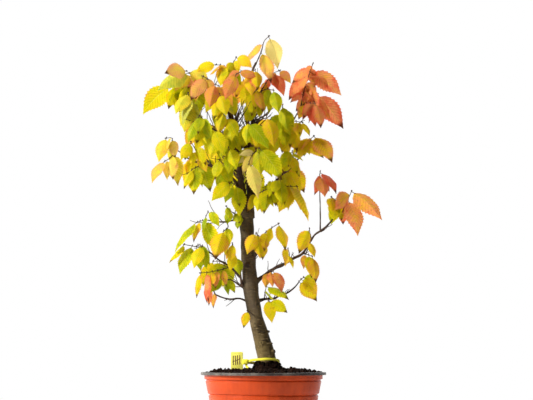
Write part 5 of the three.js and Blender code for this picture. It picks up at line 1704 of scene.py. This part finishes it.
# One flat leaf blade with a saw edge. Its place is stored as share of width, share of length, and lift.
def makeBlank():
    teeth, columns, half = leaf["teeth"], leaf["columns"], leaf["thickness"] / 2
    rows = []
    for tooth in range(teeth):
        if tooth > 0:
            rows.append((tooth / teeth, leaf["notch"]))
        rows.append(((tooth + leaf["toothPlace"]) / teeth, leaf["toothOut"]))
    blank, upper, lower = [], [], []

    def add(across, along, lift):
        blank.append((across, along, lift * mm))
        return len(blank) - 1

    for share, scale in rows:
        slant = leaf["slant"] * math.sin(math.pi * share) * (1 - share)
        upperRow, lowerRow = [], []
        for c in columns:
            along = share + slant * (abs(c) - leaf["slantMiddle"])
            across = c * bladeWidth(along) * (scale if abs(c) == 1 else 1)
            if abs(c) == 1:
                upperRow.append(add(across, along, 0))
                lowerRow.append(upperRow[-1])
            else:
                upperRow.append(add(across, along, half * (leaf["ribLift"] if c == 0 else 1)))
                lowerRow.append(add(across, along, -half - (leaf["rib"] if c == 0 else 0)))
        upper.append(upperRow)
        lower.append(lowerRow)
    base, tip = add(0, 0, 0), add(0, 1, 0)
    faces, sharp = [], set()
    for sheet, flip in ((upper, False), (lower, True)):
        for column in (0, len(columns) // 2, len(columns) - 1):
            line = [base] + [row[column] for row in sheet] + [tip]
            sharp.update(frozenset(pair) for pair in zip(line, line[1:]))
        bands = [[base] * len(columns), *sheet, [tip] * len(columns)]
        for near, far in zip(bands, bands[1:]):
            for i in range(len(columns) - 1):
                corners = list(dict.fromkeys([near[i], near[i + 1], far[i + 1], far[i]]))
                faces.append(tuple(reversed(corners)) if flip else tuple(corners))
    mesh = bpy.data.meshes.new("leafBlank")
    wide, long = leaf["blankSize"]
    mesh.from_pydata([(x * wide, y * long, z) for x, y, z in blank], [], faces)
    mesh.polygons.foreach_set("use_smooth", [True] * len(faces))
    crisp = mesh.attributes.new("sharp_edge", "BOOLEAN", "EDGE")
    crisp.data.foreach_set("value", [frozenset(edge.vertices) in sharp for edge in mesh.edges])
    stored = mesh.attributes.new("blank", "FLOAT_VECTOR", "POINT")
    stored.data.foreach_set("vector", [number for point in blank for number in point])
    uv = mesh.uv_layers.new(name="leafUv")
    for loop in mesh.loops:
        x, y, _ = blank[loop.vertex_index]
        widest = max(0.05, bladeWidth(y))
        uv.data[loop.index].uv = (0.5 + 0.5 * x / widest if 0 < y < 1 else 0.5, y)
    return link(bpy.data.objects.new("leafBlank", mesh))


# Bends the realized blades to their poses: along the arched rib, folded about it, wavy and sickle shaped.
def poseBlades(tree, blades):
    labels = ("root", "axis", "facing", "bulge", "blank", "bend", "leafTone")
    root, axis, facing, bulge, blank, bend, tone = [named(tree, label, "FLOAT_VECTOR") for label in labels]
    length = named(tree, "leafLength")
    across, along, lift = parts(tree, blank)
    arch, fold, halfWidth = parts(tree, bend)
    seed = parts(tree, tone)[1]
    petiole = leafStance["petiole"]
    share = calc(tree, "MULTIPLY_ADD", along, 1 - petiole, petiole)
    rest = calc(tree, "SUBTRACT", 1.0, share)
    archTwice = times(tree, arch, 2.0)
    rise = times(tree, times(tree, share, rest), archTwice)
    slope = times(tree, calc(tree, "SUBTRACT", rest, share), archTwice)
    tangent = calcVector(tree, "NORMALIZE", calcVector(tree, "ADD", axis, scaled(tree, bulge, slope)))
    side = calcVector(tree, "NORMALIZE", calcVector(tree, "CROSS_PRODUCT", tangent, facing))
    normal = calcVector(tree, "CROSS_PRODUCT", side, tangent)
    twist = times(tree, calc(tree, "SUBTRACT", seed, 0.5), leaf["sickle"])
    sickle = times(tree, times(tree, share, share), times(tree, length, leaf["sickleSize"]))
    outward = times(tree, across, halfWidth)
    shift = calc(tree, "MULTIPLY_ADD", across, leaf["waveSlant"], times(tree, seed, leaf["waveShift"]))
    phase = calc(tree, "MULTIPLY_ADD", along, leaf["waves"], shift)
    ripple = times(tree, calc(tree, "SINE", phase), times(tree, across, across))
    wavy = times(tree, ripple, times(tree, length, leaf["wave"]))
    folded = times(tree, fold, calc(tree, "ABSOLUTE", outward))
    height = calc(tree, "ADD", calc(tree, "SUBTRACT", lift, folded), wavy)
    position = root
    for direction, distance in (
        (axis, times(tree, share, length)),
        (bulge, times(tree, rise, length)),
        (side, calc(tree, "MULTIPLY_ADD", sickle, twist, outward)),
        (normal, height),
    ):
        position = calcVector(tree, "ADD", position, scaled(tree, direction, distance))
    return addNode(tree, "GeometryNodeSetPosition", {"Geometry": blades, "Position": position}).outputs[0]


def makeSprayTree():
    tree, given, out = newTree(
        "leafySpray",
        Blank=("NodeSocketObject", None),
        Sides=("NodeSocketInt", 6),
        Blade=("NodeSocketMaterial", None),
        Twig=("NodeSocketMaterial", None),
    )
    wires = given["Geometry"]
    tubes = wiresToTubes(tree, wires, given["Sides"], given["Twig"])
    position = addNode(tree, "GeometryNodeInputPosition").outputs[0]
    rooted = addNode(tree, "GeometryNodeStoreNamedAttribute", {"Geometry": wires, "Name": "root"},
                     data_type="FLOAT_VECTOR", domain="POINT")
    put(tree, [s for s in rooted.inputs if s.name == "Value" and s.enabled][0], position)
    spread = copies(tree, rooted.outputs[0], shapeOf(tree, given["Blank"]))
    put(tree, spread.inputs["Selection"], calc(tree, "GREATER_THAN", named(tree, "leafLength"), 0.0))
    blades = covered(tree, poseBlades(tree, realized(tree, spread.outputs[0])), given["Blade"])
    put(tree, out, joined(tree, tubes, blades))
    return tree


# The leaf's colour by its tone, seed and fading: riper at edge and tip, with veins, painted shade between
# them, random mottling, spots and burnt tips.
def makeLeafMaterial():
    material, tree, shader = newMaterial("autumn leaf", Roughness=0.5, Specular_IOR_Level=0.13)
    tones = addNode(tree, "ShaderNodeAttribute", attribute_name="leafTone", attribute_type="GEOMETRY")
    tone, seed, fade = parts(tree, tones.outputs["Vector"])
    u, v, _ = parts(tree, addNode(tree, "ShaderNodeUVMap", uv_map="leafUv").outputs[0])
    across = calc(tree, "ABSOLUTE", times(tree, calc(tree, "SUBTRACT", u, 0.5), 2.0))
    blotch = grain(tree, scale=95, detail=4, roughness=0.6)
    fleck = grain(tree, scale=430, detail=3, roughness=0.6)
    drift = times(tree, calc(tree, "SUBTRACT", blotch, 0.5), leaf["blotches"])
    drift = calc(tree, "MULTIPLY_ADD", calc(tree, "SUBTRACT", fleck, 0.5), leaf["flecks"], drift)
    warmth = calc(tree, "MULTIPLY_ADD", seed, *leaf["warmEdge"])
    ripeness = calc(tree, "MULTIPLY_ADD", seed, *leaf["ripeTip"])
    warm = times(tree, calc(tree, "POWER", across, 3.0), warmth)
    ripe = times(tree, calc(tree, "POWER", v, 3.0), ripeness)
    aged = calc(tree, "ADD", calc(tree, "ADD", tone, drift), calc(tree, "ADD", warm, ripe))
    count = len(leaf["autumn"]) - 1
    base = ramp(tree, aged, [(i / count, shade) for i, shade in enumerate(leaf["autumn"])])
    base = blended(tree, times(tree, fade, leaf["fadedMost"]), base, leaf["cream"])
    slant = calc(tree, "SUBTRACT", v, times(tree, across, leaf["veinSlant"]))
    comb = calc(tree, "FRACT", calc(tree, "MULTIPLY_ADD", slant, leaf["teeth"], leaf["veinPlace"]))
    nearVein = calc(tree, "ABSOLUTE", calc(tree, "SUBTRACT", comb, 0.5))
    vein = between(tree, nearVein, low=0, high=leaf["veinWidth"], toLow=1, toHigh=0)
    rib = between(tree, across, low=0.015, high=0.06, toLow=1, toHigh=0)
    lines = calc(tree, "MAXIMUM", times(tree, vein, leaf["sideVeins"]), rib)
    base = blended(tree, times(tree, lines, leaf["veins"]), base, leaf["veinLight"])
    # Painted shade: the leaf darkens between its side veins, most midway between two veins.
    paintedShadeAndMottle = between(tree, nearVein, low=0.15, high=0.5, toHigh=0.3)
    base = blended(tree, paintedShadeAndMottle, base, leaf["paintedShadeAndMottle"])
    # Random mottling towards the same dark olive, an uneven colour of the leaf itself.
    mottle = grain(tree, scale=520, detail=4, roughness=0.6)
    base = blended(tree, between(tree, mottle, low=0.52, high=0.74, toHigh=0.28), base, leaf["paintedShadeAndMottle"])
    spots = grain(tree, scale=380, detail=3, roughness=0.55)
    base = blended(tree, between(tree, spots, low=0.64, high=0.71, toHigh=0.65), base, leaf["spot"])
    burnt = times(tree, between(tree, v, low=0.8, high=0.89), between(tree, seed, low=0.5, high=0.6))
    base = blended(tree, times(tree, burnt, leaf["burntTip"]), base, leaf["tipBrown"])
    put(tree, shader.inputs["Base Color"], base)
    bumped(tree, shader, times(tree, lines, -1.0), distance=0.0007, strength=0.8)
    # Light crosses two sheets, so each one tints it by the square root of the leaf's colour.
    half = addNode(tree, "ShaderNodeGamma", {"Color": base, "Gamma": 0.5}).outputs[0]
    glow = addNode(tree, "ShaderNodeBsdfTranslucent", {"Color": half}).outputs[0]
    both = addNode(tree, "ShaderNodeMixShader", {"Fac": leaf["glow"], 1: shader.outputs[0], 2: glow})
    put(tree, tree.nodes["Material Output"].inputs["Surface"], both.outputs[0])
    return material


# Adds the leaf's tone, seed and fading to its pose, with its size scaled and its blade curled where dry.
def dress(pose, name, tone, seed, scale):
    fade = mix(faded[name], pose["share"]) if name in faded else 0
    if name in leaf["dry"]:
        seed = (1 + seed) / 2
    curl = leaf["curled"].get(name, 1)
    pose["length"] *= scale
    pose["leafTone"] = (mix(tone, pose["share"]), seed, fade)
    pose["bend"] = (pose["arch"], pose["fold"], pose["halfWidth"] * scale * curl * mm)
    return pose


# The smaller leaves that stand beside a leaf in the upper crown, away from its dark gap.
def extraKinds(name, stem, leafIndex, onStem):
    gap, upper, right = leaf["gap"], leaf["upperExtra"], leaf["rightExtra"]
    if name in leaf["sparse"] or (gap["left"] < onStem.x < gap["right"] and onStem.z < gap["top"]):
        return []
    x, _, z = stem[1][0]
    kinds = [upper] if leafIndex < stem[2] - 1 and z > upper["above"] else []
    return kinds + ([right] if x > right["rightOf"] and z > right["above"] else [])


def stemWire(path):
    s, length = leaf["stem"], lengthOf(path)
    steps = max(6, round(length / s["piece"]))
    start = s["start"] * (s["least"] + s["perLength"] * length)
    return evenPoints(path, steps), [start + (s["end"] - start) * i / steps for i in range(steps + 1)]


def makeSpray(name, rows, slotName):
    solid = frame["nodes"]["spray_" + name].data
    corners = kdtree.KDTree(len(solid.vertices))
    for index, vertex in enumerate(solid.vertices):
        corners.insert(vertex.co, index)
    corners.balance()
    wires, leaves, buds = [], [], []
    for stemIndex, stem in rows:
        _, path, count, _, tone, _, first = stem
        line, radii = stemWire(path)
        wires.append((line, radii))
        buds.append((line[-1], (line[-1] - line[-2]).normalized(), leaf["endBud"]))
        for leafIndex in range(count):
            pose = standingPose(stem, stemIndex, leafIndex, corners)
            if pose is None:
                print("no leaf", name, stemIndex, leafIndex)
                continue
            onStem = pointOnRuns(line, first + (leafStance["lastPlace"] - first) * pose["share"])
            stalk = [onStem] + [ribPoint(pose, share) for share in leaf["stalkPlaces"]]
            wires.append((stalk, [leaf["stalk"] * k for k in leaf["stalkNarrows"]]))
            aside, above = leaf["sideBudAway"]
            budPlace = onStem - pose["axis"] * aside + Vector((0, 0, above))
            buds.append((budPlace, Vector((0, 0, 1)), leaf["sideBud"]))
            seed = fixedDraw(stemIndex, leafIndex, "tone")
            leaves.append(dress(pose, name, tone, seed, leaf["scale"]))
            for kind in extraKinds(name, stem, leafIndex, onStem):
                extra = leafPose(stem, stemIndex, leafIndex, kind["attempt"], kind["after"])
                seed = fixedDraw(stemIndex, leafIndex, kind["draw"])
                leaves.append(dress(extra, name, tone, seed, leaf["extraSize"]))
    thing = wireObject("leaves_" + name, wires, leaves, buds)
    grow(thing, sprayTree, Blank=leafBlank, Sides=leaf["stem"]["sides"], Blade=autumnLeaf, Twig=twigBark)
    settle(thing)
    removeHelpers(thing.data, kept=("leafTone",))
    finished(thing, slotName, "spray_" + name)
    return len(leaves)


autumnLeaf = makeLeafMaterial()
leafBlank = makeBlank()
sprayTree = makeSprayTree()
slotOf = {part["node"]: part["material_slot"] for part in frame["record"]["subparts"]}
total = 0
for name in dict.fromkeys(stem[0] for stem in stems):
    rows = [(index, stem) for index, stem in enumerate(stems) if stem[0] == name]
    total += makeSpray(name, rows, slotOf["spray_" + name])
bpy.data.objects.remove(leafBlank)
print("leaves made:", total)
